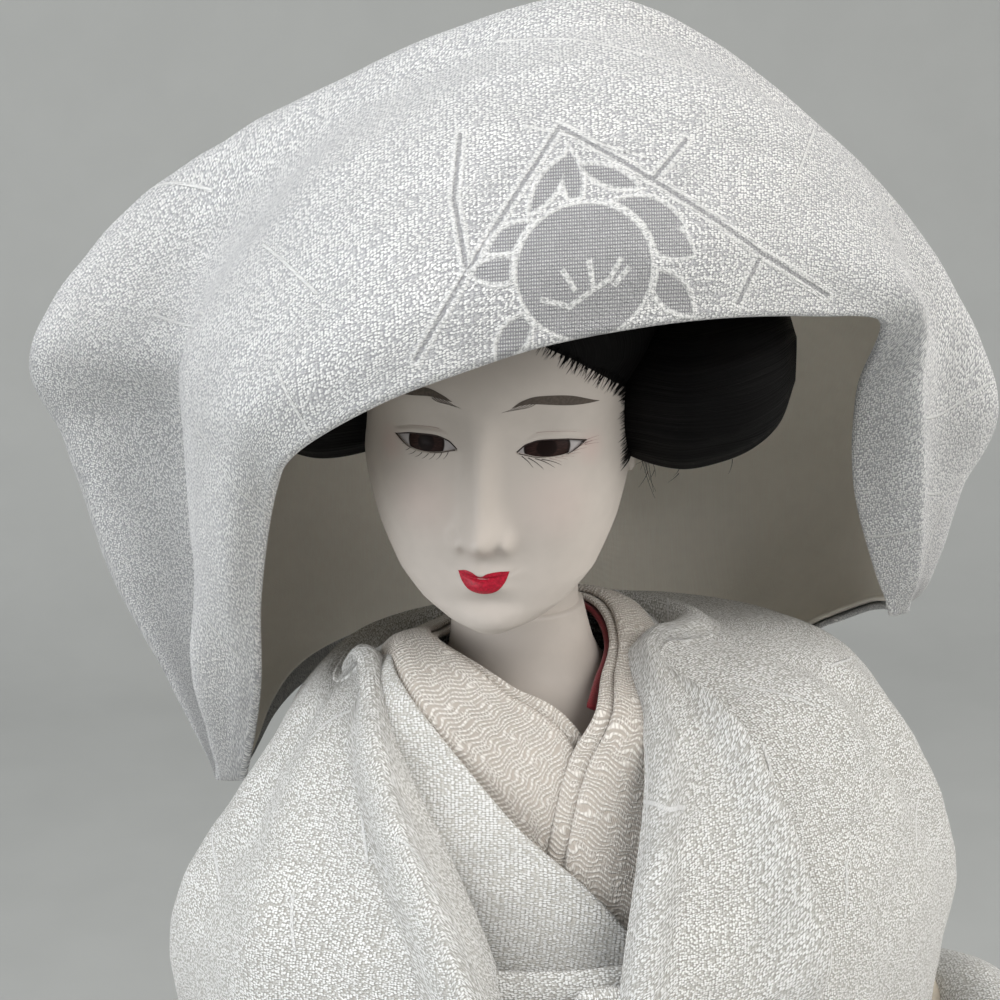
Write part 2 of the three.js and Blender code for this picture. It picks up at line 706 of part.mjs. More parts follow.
// A point of the collar surface: t from -1 (lower end, left) over the nape to 1; mm from its inner edge.
function collarPoint(t, across) {
  const lines = sideTracks[t < 0 ? 0 : 1];
  const share = Math.abs(t);
  const span = across < guideWidths[1] ? 0 : 1;
  const part = (across - guideWidths[span]) / (guideWidths[span + 1] - guideWidths[span]);
  const made = lines[span](share).lerp(lines[span + 1](share), part);
  const front = step(share, 0.5, 0.68);
  made.y = mix(made.y, chestY(made.x, made.z), front);
  return made;
}
const collarAbout = (p) => point(0, 4, p.z - 14);
// Strips cross in front, so each has a level above the chest, in cloth steps, that changes along it.
function collar(from, to, rows, count, first, last, level) {
  const along = range(count).map((i) => mix(first, last, i / (count - 1)));
  const grid = along.map((t) =>
    range(rows).map((j) => collarPoint(t, mix(from(t), to(t), j / (rows - 1)))),
  );
  const inner = (i) => collarStep * level(along[i]);
  return cloth(grid, (i) => inner(i) + collarThickness, inner, { about: collarAbout });
}
const even = (value) => () => value;
const crossing = (nape, right) => (t) => mix(nape, right, step(t, 0.5, 0.66));
const kimonoStart = (t) => mix(15.2, 13, step(-t, 0.44, 0.58));
const kimonoEdge = (t) => mix(17.4, t < 0 ? 31 : 26, step(Math.abs(t), 0.45, 0.9));
const kimonoLevel = (t) => 1 + 1.1 * step(-t, 0.4, 0.5) + 2.7 * step(-t, 0.64, 0.8);
add("red_collar", collar(even(-1.2), even(3.5), 2, 12, 0.04, 0.58, even(-1)), redSilk);
add("inner_collar", collar(even(-0.4), even(7), 2, 31, -0.9, 0.99, crossing(0, 2)), crepe);
add("half_collar", collar(even(1.8), even(14.5), 3, 31, -0.9, 0.99, crossing(1, 3)), crepe);
add("kimono_collar", collar(kimonoStart, kimonoEdge, 3, 31, -0.985, 0.9, kimonoLevel), plainSilk);

// Kimono bodice, skirt and front flap.
const bodiceWidth = torsoHalfWidth + 2.2;
const bodiceLevels = [
  [obiBottom + 1, bodiceWidth - 1.6, 32.5, 26.4],
  [obiBottom + 20, bodiceWidth - 0.6, 34.5, 27],
  [obiTop - 3, bodiceWidth, chestFront(obiTop - 3) - 0.6, 27.5],
  [neckZ - 25, bodiceWidth, chestFront(neckZ - 25) - 0.7, 27.5],
  [neckZ - 17, bodiceWidth - 1, chestFront(neckZ - 17) - 1, 27],
  [neckZ - 11, bodiceWidth - 5.5, chestFront(neckZ - 11) - 2.2, 24],
];
const ringsOf = (levels, count) => levels.map(([z, w, f, b]) => oval(0, 0, z, w, f, b, count));
const axis = (p) => point(0, 0, p.z);
const bodiceRings = ringsOf(bodiceLevels, 18);
add("kimono_bodice", cloth(bodiceRings, 0, -clothThickness, { wrap: true, about: axis }), plainSilk);
const skirtProfile = [
  [floorTop + gap + 0.9, 66, 60, 62],
  [floorTop + 12, 57, 52, 54],
  [floorTop + 36, 49, 45, 47],
  [floorTop + 90, 43, 39, 41],
  [hipZ - 20, 39.5, 36, 37],
  [hipZ + 25, 37, 35, 33.5],
  [obiBottom - gap, 34.5, 33.5, 28],
];
const skirtFold = (z) => 2.6 * (1 - step(z, floorTop, hipZ));
function skirtRing([z, w, f, b], count, out = 0) {
  return oval(0, 0, z, w + out, f + out, b + out, count).map((p, j) => {
    const a = (j / count) * Math.PI * 2;
    const swell = 1 + (skirtFold(z) * Math.cos(a * 7 + 0.6)) / 60;
    return point(p.x * swell, p.y * swell, p.z);
  });
}
const skirtSides = 26;
const skirtRings = skirtProfile.map((level) => skirtRing(level, skirtSides));
add("kimono_skirt", cloth(skirtRings, 0, -clothThickness, { wrap: true, about: axis }), plainSilk);
const flapRings = skirtProfile.map((level, i) => {
  const ring = skirtRing(level, skirtSides);
  const narrow = Math.round(mix(2, 3, 1 - i / (skirtProfile.length - 1)));
  return [...ring.slice(skirtSides - 6), ...ring.slice(0, narrow + 1)];
});
const flapCols = Math.min(...flapRings.map((ring) => ring.length));
const flapGrid = flapRings.map((ring) => {
  const line = track(ring);
  return range(flapCols).map((j) => line(j / (flapCols - 1)));
});
add("kimono_flap", cloth(flapGrid, 1.4 + clothThickness, 1.4, { about: axis }), plainSilk);

open("sash");
// Sash: band, bow at the back under the robe, cord and scarf with its knot.
const obiFront = chestFront(obiTop - 3) + 5 * collarStep + collarThickness + gap + obiThickness;
const obiBack = 30.5;
const obiHalf = bodiceWidth + 3;
const obiRing = (z, out = 0) => oval(0, 0, z, obiHalf + out, obiFront + out, obiBack + out, 24, 0.74);
const obiLevels = [0, 0.5, 1].map((share) => obiRing(mix(obiBottom + 0.6, obiTop, share)));
add("obi_band", cloth(obiLevels, 0, -obiThickness, { wrap: true, about: axis }), brocade);
const bowY = obiBack + gap + 2.5;
const bow = loft(
  [-24, -22, -12, 0, 12, 22, 24].map((x) => {
    const full = Math.abs(x) > 23 ? 0.5 : Math.abs(x) < 1 ? 0.78 : 1;
    return range(14).map((j) => {
      const a = (j / 14) * Math.PI * 2;
      const c = Math.sign(Math.cos(a)) * Math.abs(Math.cos(a)) ** 0.6;
      const s = Math.sign(Math.sin(a)) * Math.abs(Math.sin(a)) ** 0.6;
      return point(x, bowY + 6 * full * c + 3, mix(obiBottom, obiTop, 0.5) + 15 * full * s);
    });
  }),
);
const obiBlock = loft([obiBottom - 2, obiTop + 2].map((z) => obiRing(z, gap)));
add("obi_bow", cut(bow, obiBlock), brocade);
const cordZ = mix(obiBottom, obiTop, 0.45);
const cordLine = obiRing(cordZ, cordRadius + gap);
const cordFaces = [];
const cordPoints = cordLine.flatMap((p, i) => {
  const out = p.clone().setZ(0).normalize();
  return range(6).map((j) => {
    const a = (j / 6) * Math.PI * 2;
    const ring = p.clone().addScaledVector(out, Math.cos(a) * cordRadius);
    return ring.setZ(p.z + Math.sin(a) * cordRadius);
  });
});
for (let i = 0; i < cordLine.length; i += 1)
  for (let j = 0; j < 6; j += 1) {
    const n = ((i + 1) % cordLine.length) * 6;
    const k = (j + 1) % 6;
    cordFaces.push([i * 6 + j, n + j, n + k], [i * 6 + j, n + k, i * 6 + k]);
  }
const cordWhole = closed(cordPoints, cordFaces);
const bowRoom = new THREE.BoxGeometry(60, 40, 60);
bowRoom.translate(0, obiBack + 20 - 6, cordZ);
add("obi_cord", cut(cordWhole, bowRoom), gold);
const scarfRows = [[0, 0.6], [2.2, 1.5], [4.4, 0.9], [6, -0.5]];
const scarfRings = scarfRows.map(([up, out]) => obiRing(obiTop + gap + up, out));
const scarfBand = cloth(scarfRings, 0, -1.3, { wrap: true, about: axis });
add("obi_scarf", cut(scarfBand, bowRoom.clone().translate(0, -2, 30)), plainSilk);
const tab = (x, wide, drop) =>
  loft(
    [0, 0.25, 0.75, 1].map((share) => {
      const full = share === 0 || share === 1 ? 0.72 : 1;
      return range(12).map((j) => {
        const a = (j / 12) * Math.PI * 2;
        const c = Math.sign(Math.cos(a)) * Math.abs(Math.cos(a)) ** 0.6;
        const s = Math.sign(Math.sin(a)) * Math.abs(Math.sin(a)) ** 0.6;
        return point(
          x + (share - 0.5) * wide,
          -obiFront - 3.65 + 1.8 * full * c,
          obiTop - drop + 5.4 * full * s,
        );
      });
    }),
  );
add("obi_scarf_knot", join(tab(-8.6, 9.2, 1.6), tab(-0.6, 8.2, -0.4)), plainSilk);

open("robe");
// Robe: half rings from its front edge over the side to the middle of the back, at eight heights. Each
// level has its two front edges as x, y, z; half-width, sideways shift, y, z and tilt of the sides; y, z of
// the back.
const robeTop = neckZ;
const robeLevels = [
  { edges: [[-29.5, -6, 8.4], [14.5, -7, 8.2]], side: [26.2, -2.7, 5, 5, 3.6], back: [28.5, 8.5] },
  { edges: [[-29, -28.8, -6], [12, -33.5, -5.2]], side: [44, 6, 4, 1, 0.6], back: [39, 0] },
  { edges: [[-20.5, -51, -28], [5, -51.5, -28]], side: [62.5, 4.5, 3, -30], back: [47.5, -26] },
  { edges: [[-17, -55.5, -53], [1, -56.5, -53]], side: [63, 4, 2, -55], back: [58, -53] },
  { edges: [[-18, -51, -88], [11, -51.5, -88]], side: [60, 2, 2, -88], back: [60, -88] },
  { edges: [[-28, -48, -158], [27, -48, -158]], side: [57, 0, 1, -158], back: [59, -158] },
  { edges: [[-42, -56, -228], [42, -56, -228]], side: [69, 0, 2, -228], back: [74, -228] },
  { edges: [[-58, -76, -310], [58, -76, -310]], side: [104, 0, 4, -310], back: [107, -310] },
];
const robeFloor = floorTop + gap + 0.9;
const robeDrop = (robeTop - robeFloor) / 310;
const robeZ = (dz) => robeTop + (dz < 0 ? dz * robeDrop : dz);
function robeControl(level, mirror) {
  const [ex, ey, ez] = level.edges[mirror < 0 ? 0 : 1];
  const [half, shift, sy, sz, tilt = 0] = level.side;
  const edge = point(ex, ey, robeZ(ez));
  const side = point(mirror * half + shift, sy, robeZ(sz + mirror * tilt));
  const back = point(shift * 0.5, level.back[0], robeZ(level.back[1]));
  const between = (a, b, out) => {
    const chord = b.clone().sub(a);
    const normal = point(chord.y, -chord.x, 0).multiplyScalar(mirror * out);
    return a.clone().lerp(b, 0.5).add(normal);
  };
  return [edge, between(edge, side, 0.15), side, between(side, back, 0.2), back];
}
const robeControls = [-1, 1].map((mirror) => {
  const rows = robeLevels.map((level) => robeControl(level, mirror));
  return range(5).map((k) => track(rows.map((row) => row[k])));
});
// A point of the robe: side -1 or 1, share from front edge to middle of the back, share from neck to hem.
function robePoint(mirror, around, down) {
  const lines = robeControls[mirror < 0 ? 0 : 1].map((line) => line(down));
  const twin = lines[3].clone();
  twin.x = 2 * lines[4].x - twin.x;
  const made = track([...lines, twin])(around * 0.8);
  const fold = 3.6 * step(down, 0.45, 1) * Math.cos(around * 15 + mirror * 0.7 + 0.4);
  const sag = 1.1 * step(down, 0.2, 0.4) * (1 - step(down, 0.7, 0.95)) * Math.sin(around * 11 + mirror * 2);
  const out = point(made.x, made.y, 0).normalize();
  return made.addScaledVector(out, fold + sag);
}
const robeRows = 13;
const robeDown = (i) => (i / (robeRows - 1)) ** 1.3;
const robeAbout = (p) => point(0, 2, Math.min(p.z, neckZ - 34));
function robePanel(mirror, from, to, cols) {
  return range(robeRows).map((i) =>
    range(cols).map((j) => robePoint(mirror, mix(from, to, j / (cols - 1)), robeDown(i))),
  );
}
const seamShare = 0.56;
const seamGap = 0.004;
const lean = 4;
const armPath = (side) =>
  track([
    point(side * 45 + lean / 2, 3, neckZ - 24),
    point(side * 53 + lean / 2, 4, neckZ - 46),
    point(side * 65 + lean, -2, neckZ - 70),
    point(side * 57 + lean / 4, -42, neckZ - 77),
    point(side * 24, -80, neckZ - 80),
  ]);
const armhole = (side) => rod((s) => armPath(side)(0.1 + 0.55 * s), armRadius + sleeveRoom + 0.4, 7, 10);
for (const [name, mirror] of [["robe_front_left", 1], ["robe_front_right", -1]]) {
  const panel = cloth(robePanel(mirror, 0, seamShare, 10), 0, -clothThickness, { about: robeAbout });
  add(name, cut(panel, armhole(mirror)), brocade);
}
const backGrid = range(robeRows).map((i) => [
  ...range(9).map((j) => robePoint(-1, mix(seamShare + seamGap, 1, j / 8), robeDown(i))),
  ...range(8).map((j) => robePoint(1, mix(1, seamShare + seamGap, (j + 1) / 8), robeDown(i))),
]);
const backPanel = cloth(backGrid, 0, -clothThickness, { about: robeAbout });
add("robe_back", cut(backPanel, armhole(1), armhole(-1)), brocade);

// The robe's collar band lies on its front edges and round the neck.
const bandWide = profile([
  [0, 5], [0.06, 7.5], [0.14, 13], [0.24, 24], [0.3, 30], [0.335, 27], [0.37, 15], [0.5, 11], [1, 10],
]);
const bandWidth = (mirror, down) => (mirror > 0 ? bandWide(down) : mix(5, 8, step(down, 0.02, 0.14)));
// From the lower end up the front edge, round the corner at the neck and to the middle of the back: how far
// around, how far down, and how the band's width is turned, from across the front (0) to down the back (1).
const bandHalf = [
  [0, 0.7, 0], [0, 0.6, 0], [0, 0.5, 0], [0, 0.42, 0], [0, 0.37, 0], [0, 0.335, 0], [0, 0.3, 0],
  [0, 0.25, 0], [0, 0.2, 0], [0, 0.15, 0], [0, 0.1, 0.1], [0, 0.05, 0.3], [0, 0.015, 0.5],
  [0.1, 0, 0.72], [0.25, 0, 0.9],
  ...range(5).map((i) => [mix(0.4, 1, i / 4), 0, 1]),
];
function bandRow(mirror, [around, down, turn]) {
  const at = robePoint(mirror, around, down);
  const wide = bandWidth(mirror, down);
  const reachAround = wide / (at.distanceTo(robePoint(mirror, around + 0.1, down)) * 10);
  const reachDown = wide / (at.distanceTo(robePoint(mirror, around, down + 0.05)) * 20);
  const [c, s] = [Math.cos((turn * Math.PI) / 2), Math.sin((turn * Math.PI) / 2)];
  return range(3).map((j) => {
    const a = around + (reachAround * c * j) / 2;
    const d = down + (reachDown * s * j) / 2;
    return robePoint(mirror, Math.min(1, a), Math.min(1, d));
  });
}
const bandGrid = [
  ...bandHalf.map((spot) => bandRow(-1, spot)),
  ...bandHalf.slice(0, -1).reverse().map((spot) => bandRow(1, spot)),
];
add("robe_collar", cloth(bandGrid, 2.3, 1, { about: robeAbout }), brocade);

// Sleeves: a hanging double cloth along a plan line, with a tube round the forearm.
const sleevePlan = [
  [60, 27, -66, -180], [73, 2, -58, -188], [71.5, -24, -62, -194], [59, -44, -68, -197], [36, -72, -71, -194],
];
const cuffHalf = armRadius + sleeveRoom + cuffWall;
function sleeveGeometry(side) {
  const plan = track(sleevePlan.map(([x, y]) => point(side * x, y, 0)));
  const tops = track(sleevePlan.map(([, , top, bottom]) => point(top, bottom, 0)));
  const rings = range(11).map((i) => {
    const share = i / 10;
    const at = plan(share);
    const along = plan(Math.min(1, share + 0.03)).sub(plan(Math.max(0, share - 0.03))).normalize();
    const out = point(-along.y, along.x, 0).multiplyScalar(side);
    const limit = tops(share);
    const end = i === 0 ? 0.45 : 1;
    const rows = 6;
    const column = range(rows).map((k) => k / (rows - 1));
    const edge = (v) => (v > 0.97 || v < 0.03 ? 0.5 : 1);
    const thick = (v) => end * edge(v) * mix(cuffHalf, 2.6, step(v, 0.1, 0.34));
    const wave = (v) => 2.4 * step(v, 0.1, 0.8) * Math.sin(share * 12 + v * 1.5);
    const level = (v) => mix(neckZ + limit.x, neckZ + limit.y * robeDrop, v);
    const face = (v, sign) => {
      const spot = at.clone().addScaledVector(out, wave(v) + 5 * v + sign * thick(v));
      return point(spot.x + lean * (1 - share) * (1 - v), spot.y, level(v));
    };
    return [...column.map((v) => face(v, 1)), ...column.reverse().map((v) => face(v, -1))];
  });
  const bag = loft(rings);
  const bore = rod((s) => armPath(side)(0.2 + 0.8 * s), armRadius + sleeveRoom, 9, 12);
  return cut(bag, bore);
}
add("sleeve_left", sleeveGeometry(1), brocade);
add("sleeve_right", sleeveGeometry(-1), brocade);

open("arms");
// Arms, hands and wrist pins.
const armReach = 0.985;
function handGeometry() {
  const palm = loft(
    [[0, 3, 2.6], [3, 3.4, 2.6], [7, 5, 2.4], [11, 5.2, 2.1], [13, 4.4, 1.7]].map(([along, w, h]) =>
      range(10).map((j) => {
        const a = (j / 10) * Math.PI * 2;
        return point(w * Math.cos(a), h * Math.sin(a), along);
      }),
    ),
  );
  const digit = (x, z0, length, lean, r) => {
    const knuckle = point(x + lean * 0.5, 0.3, z0 + length * 0.55);
    const line = track([point(x, 0, z0), knuckle, point(x + lean, -0.9, z0 + length)]);
    return rod(line, (s) => r * mix(1, 0.62, s ** 2), 2, 6);
  };
  return join(
    palm,
    digit(-3.6, 10.5, 9.6, -0.6, 1.2),
    digit(-1.3, 11, 11.2, -0.2, 1.25),
    digit(1.1, 11, 11, 0.2, 1.25),
    digit(3.4, 10.5, 9, 0.5, 1.15),
    digit(-4, 4.5, 8, -3.2, 1.35),
  );
}
for (const [word, side] of [["left", 1], ["right", -1]]) {
  const path = armPath(side);
  const end = path(armReach);
  const along = end.clone().sub(path(armReach - 0.06)).normalize();
  const bar = (from, to, radius, sides) => {
    const a = end.clone().addScaledVector(along, from);
    const b = end.clone().addScaledVector(along, to);
    return rod((s) => a.clone().lerp(b, s), radius, 1, sides);
  };
  const pinRadius = 1;
  const pinHole = bar(-9 - gap, 5.5 + gap, pinRadius + gap, 12);
  add(`arm_${word}`, cut(rod((s) => path(s * armReach), armRadius, 9, 10), pinHole), wrap);
  const turn = new THREE.Matrix4().makeBasis(
    point(0, 0, 1).cross(along).normalize(),
    along.clone().cross(point(0, 0, 1).cross(along).normalize()),
    along,
  );
  const hand = handGeometry();
  if (side > 0) hand.scale(-1, 1, 1);
  hand.index.array.reverse();
  if (side < 0) hand.index.array.reverse();
  hand.applyMatrix4(turn);
  const wrist = end.clone().addScaledVector(along, 0.5);
  hand.translate(wrist.x, wrist.y, wrist.z);
  add(`hand_${word}`, cut(hand, pinHole), skin);
  add(`wrist_pin_${word}`, bar(-9, 5.5, pinRadius, 10), steel);
}

export default group;
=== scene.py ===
"""Bride doll with a white hood: its looks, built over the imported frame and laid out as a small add-on."""
import math

import bpy
import numpy as np
from bpy.props import FloatProperty, FloatVectorProperty, PointerProperty
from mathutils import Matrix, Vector


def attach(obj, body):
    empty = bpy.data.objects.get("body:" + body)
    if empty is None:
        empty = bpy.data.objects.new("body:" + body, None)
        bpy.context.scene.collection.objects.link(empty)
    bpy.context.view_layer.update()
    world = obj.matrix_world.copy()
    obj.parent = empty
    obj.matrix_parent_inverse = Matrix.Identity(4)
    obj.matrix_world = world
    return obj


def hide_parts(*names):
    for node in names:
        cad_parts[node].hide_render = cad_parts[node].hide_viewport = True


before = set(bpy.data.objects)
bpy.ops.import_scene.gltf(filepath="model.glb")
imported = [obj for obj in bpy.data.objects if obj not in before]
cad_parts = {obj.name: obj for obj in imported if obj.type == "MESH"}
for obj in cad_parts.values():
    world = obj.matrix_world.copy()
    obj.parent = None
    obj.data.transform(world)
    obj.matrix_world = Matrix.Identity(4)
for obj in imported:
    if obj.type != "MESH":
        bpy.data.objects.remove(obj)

bl_info = {
    "name": "Bride doll looks",
    "version": (1, 0, 0),
    "blender": (4, 5, 0),
    "location": "3D View > Sidebar > Doll",
    "description": "Builds the cloth, head, wig and stage of a bride doll over its packed frame",
    "category": "Object",
}

# Shapes are written in millimetres, as in the part's source, and turned into metres when a mesh is made.
MM = 0.001
NECK = np.array([-3.5, 3.0, 338.0])
HEAD = np.array([-8.0, -6.0, 384.0])
FLOOR = 28.0
HIP = 200.0
OBI_TOP = 303.0
OBI_BOTTOM = 268.0
SIDES = (("left", 1), ("right", -1))


def mix(a, b, share):
    """A value between a and b."""
    return a + (b - a) * share


def step(x, low, high):
    """A smooth step from 0 at low to 1 at high."""
    t = np.clip((np.asarray(x, float) - low) / (high - low), 0, 1)
    return t * t * (3 - 2 * t)


def bell(x, middle, width):
    """A bell curve of height 1."""
    return np.exp(-(((x - middle) / width) ** 2))


def unit(v):
    """Vectors of length 1."""
    return v / np.maximum(np.linalg.norm(v, axis=-1, keepdims=True), 1e-9)


def stacked(*parts):
    """Points from their coordinates."""
    return np.stack(np.broadcast_arrays(*parts), axis=-1)


def circle(count):
    """Angles spread evenly round a circle."""
    return np.linspace(0, 2 * np.pi, count, endpoint=False)


def shares(count):
    """Evenly spaced shares from 0 to 1."""
    return np.linspace(0, 1, count)


def scaled(colour, factor):
    """A colour made darker or lighter."""
    return [c * factor for c in colour]


def hermite(p0, p1, p2, p3, w):
    """The smooth curve's point between p1 and p2."""
    t0, t1 = (p2 - p0) / 2, (p3 - p1) / 2
    a, b = 3 * (p2 - p1) - 2 * t0 - t1, 2 * (p1 - p2) + t0 + t1
    return p1 + w * t0 + w**2 * a + w**3 * b


def catmull(points, share):
    """A smooth curve through points, read at shares from 0 to 1 of its control points."""
    pts = np.asarray(points, float)
    at = np.clip(np.asarray(share, float), 0, 1) * (len(pts) - 1)
    i = np.clip(at.astype(int), 0, len(pts) - 2)
    pad = np.concatenate([[2 * pts[0] - pts[1]], pts, [2 * pts[-1] - pts[-2]]])
    w = (at - i).reshape(at.shape + (1,) * (pts.ndim - 1))
    return hermite(pad[i], pad[i + 1], pad[i + 2], pad[i + 3], w)


def catmull_each(points, share):
    """As catmull, but each share has control points of its own: points are (count, controls, 3)."""
    pad = np.concatenate(
        [2 * points[:, :1] - points[:, 1:2], points, 2 * points[:, -1:] - points[:, -2:-1]], axis=1
    )
    at = np.clip(share, 0, 1) * (points.shape[1] - 1)
    i = np.clip(at.astype(int), 0, points.shape[1] - 2)
    k = np.arange(len(points))
    return hermite(pad[k, i], pad[k, i + 1], pad[k, i + 2], pad[k, i + 3], (at - i)[:, None])


def profile(pairs):
    """A smooth function through (position, value) pairs."""
    at, values = np.array(pairs, float).T

    def read(x):
        x = np.asarray(x, float)
        i = np.clip(np.searchsorted(at, x) - 1, 0, len(at) - 2)
        share = np.clip((x - at[i]) / (at[i + 1] - at[i]), 0, 1)
        return catmull(values, (i + share) / (len(at) - 1))

    return read


def ripple(p, size, seed):
    """Soft random values about 0 over points, from a few crossed waves."""
    rng = np.random.default_rng(seed)
    total = np.zeros(p.shape[:-1])
    for _ in range(7):
        way = rng.normal(size=3)
        wave = way / np.linalg.norm(way) * rng.uniform(0.7, 1.5) * 2 * np.pi / size
        total += np.sin(p @ wave + rng.uniform(0, 6.28))
    return total / 3.5


def make_object(name, points, faces, uv=None):
    """A smooth mesh object from points in millimetres, faces and one UV in millimetres for each corner."""
    mesh = bpy.data.meshes.new(name)
    mesh.from_pydata((np.asarray(points) * MM).tolist(), [], [list(map(int, f)) for f in faces])
    mesh.polygons.foreach_set("use_smooth", np.ones(len(mesh.polygons), bool))
    if uv is not None:
        layer = mesh.uv_layers.new(name="weave")
        layer.data.foreach_set("uv", (np.asarray(uv, np.float32).reshape(-1, 2) * MM).ravel())
    mesh.validate(clean_customdata=False)
    mesh.update()
    obj = bpy.data.objects.new(name, mesh)
    bpy.context.scene.collection.objects.link(obj)
    return obj


def lengths(grid, axis, middle):
    """How far each point of a grid lies along an axis, from that axis's middle row."""
    gaps = np.linalg.norm(np.diff(grid, axis=axis), axis=-1)
    run = np.insert(np.cumsum(gaps, axis), 0, 0, axis)
    return run - np.take(run, [middle], axis)


def cloth_uv(grid, wrap=False):
    """UV in millimetres along the cloth: across the columns and down the rows."""
    whole = np.concatenate([grid, grid[:, :1]], axis=1) if wrap else grid
    rows, cols = whole.shape[:2]
    return stacked(lengths(whole, 1, cols // 2), lengths(whole, 0, rows // 2))


def grid_frame(grid, about, wrap):
    """Outward normals of a grid, and its directions down the rows and along the columns."""
    down = np.gradient(grid, axis=0)
    along = np.roll(grid, -1, 1) - np.roll(grid, 1, 1) if wrap else np.gradient(grid, axis=1)
    normals = unit(np.cross(down, along))
    if np.sum(normals * (grid - about(grid))) < 0:
        normals = -normals
    return normals, unit(down), unit(along)


def quad_faces(rows, cols, wrap=False):
    """Corner (row, column) pairs of a grid's quads; with wrap the last column is the first again."""
    i, j = np.meshgrid(np.arange(rows - 1), np.arange(cols if wrap else cols - 1), indexing="ij")
    corners = [(i, j), (i, j + 1), (i + 1, j + 1), (i + 1, j)]
    return np.stack([np.stack([a.ravel(), b.ravel()], -1) for a, b in corners], axis=1)


def turned_out(points, faces, uv):
    """Faces turned so that a closed mesh's faces look outwards."""
    volume = 0.0
    for f in (faces[:, [0, 1, 2]], faces[:, [0, 2, 3]]):
        a, b, c = (points[f[:, k]] for k in range(3))
        volume += np.sum(a * np.cross(b, c))
    return (faces, uv) if volume >= 0 else (faces[:, ::-1], uv[:, ::-1])


# Shares of the half turn by which a cloth's edge is rounded.
EDGE_TURNS = (0, 0.25, 0.5, 0.75, 1)


def cloth(name, grid, outer, inner, about, wrap=False, uv=None):
    """A sheet of cloth between two offsets of a grid, with rounded edges."""
    rows, cols = grid.shape[:2]
    normals, down, along = grid_frame(grid, about, wrap)
    outer = np.broadcast_to(outer, (rows, cols))[..., None]
    inner = np.broadcast_to(inner, (rows, cols))[..., None]
    face_a, face_b = grid + normals * outer, grid + normals * inner
    uv = cloth_uv(grid, wrap) if uv is None else uv
    i, j = np.indices((rows, cols))
    sign_i = ((i == rows - 1) * 1.0 - (i == 0))[..., None]
    sign_j = 0 * sign_i if wrap else ((j == cols - 1) * 1.0 - (j == 0))[..., None]
    out = unit(down * sign_i + along * sign_j)
    uv_i, uv_j = (np.gradient(uv, axis=k)[:, :cols] for k in (0, 1))
    half = (outer - inner) / 2
    uv_out = unit(uv_i * sign_i + uv_j * sign_j) * half * np.pi
    middle = (face_a + face_b) / 2
    quads = quad_faces(rows, cols, wrap)
    index = quads[..., 0] * cols + quads[..., 1] % cols
    corner_uv = uv[quads[..., 0], quads[..., 1]]
    faces = [index, index[:, ::-1] + rows * cols]
    uvs = [corner_uv, corner_uv[:, ::-1]]
    points = [face_a.reshape(-1, 3), face_b.reshape(-1, 3)]
    count = 2 * rows * cols
    top, side = np.arange(cols), np.arange(1, rows)
    if wrap:
        loops = [(0 * top + r, top) for r in (0, rows - 1)]
    else:
        around_i = np.concatenate([0 * top, side, 0 * top[1:] + rows - 1, side[-2::-1]])
        around_j = np.concatenate([top, 0 * side + cols - 1, top[-2::-1], 0 * side[:-1]])
        loops = [(around_i, around_j)]
    for li, lj in loops:
        rings = [li * cols + lj]
        for turn in EDGE_TURNS[1:-1]:
            c, s = math.cos(turn * math.pi), math.sin(turn * math.pi)
            points.append(middle[li, lj] + (normals[li, lj] * c + out[li, lj] * s) * half[li, lj])
            rings.append(count + np.arange(len(li)))
            count += len(li)
        rings.append(li * cols + lj + rows * cols)
        here, step_out = uv[li, lj], uv_out[li, lj]
        there = uv[li, lj + 1] if wrap else np.roll(here, -1, 0)
        there_out = np.roll(step_out, -1, 0)
        flip = wrap and li[0] == rows - 1
        for k, (near, far) in enumerate(zip(EDGE_TURNS, EDGE_TURNS[1:])):
            a, b = rings[k], rings[k + 1]
            strip = np.stack([a, b, np.roll(b, -1), np.roll(a, -1)], axis=1)
            first, second = [here + step_out * part for part in (near, far)]
            third, fourth = [there + there_out * part for part in (far, near)]
            strip_uv = np.stack([first, second, third, fourth], axis=1)
            faces.append(strip[:, ::-1] if flip else strip)
            uvs.append(strip_uv[:, ::-1] if flip else strip_uv)
    points = np.concatenate(points)
    faces, uvs = turned_out(points, np.concatenate(faces), np.concatenate(uvs))
    return make_object(name, points, faces, uvs)


def loft(name, rings):
    """Rings of points joined into one skin, closed by a point at each end."""
    rings = np.asarray(rings, float)
    rows, cols = rings.shape[:2]
    uv = cloth_uv(rings, True)
    quads = quad_faces(rows, cols, True)
    index = quads[..., 0] * cols + quads[..., 1] % cols
    points = rings.reshape(-1, 3)
    faces, uvs = turned_out(points, index, uv[quads[..., 0], quads[..., 1]])
    flipped = faces[0, 0] != index[0, 0]
    faces, uvs = faces.tolist(), list(uvs.reshape(-1, 2))
    for row, turn in ((0, True), (rows - 1, False)):
        points = np.concatenate([points, rings[row].mean(0)[None]])
        for j in range(cols):
            a, b = row * cols + j, row * cols + (j + 1) % cols
            faces.append([len(points) - 1, b, a] if turn != flipped else [len(points) - 1, a, b])
            uvs.extend([uv[row, j]] * 3)
    return make_object(name, points, faces, np.array(uvs))


def patch(name, grid, uv=None):
    """One open surface from a grid whose rows go up and columns to the right, seen from its front."""
    rows, cols = grid.shape[:2]
    quads = quad_faces(rows, cols)
    faces = quads[..., 0] * cols + quads[..., 1]
    uv = cloth_uv(grid) if uv is None else uv
    return make_object(name, grid.reshape(-1, 3), faces, uv[quads[..., 0], quads[..., 1]])


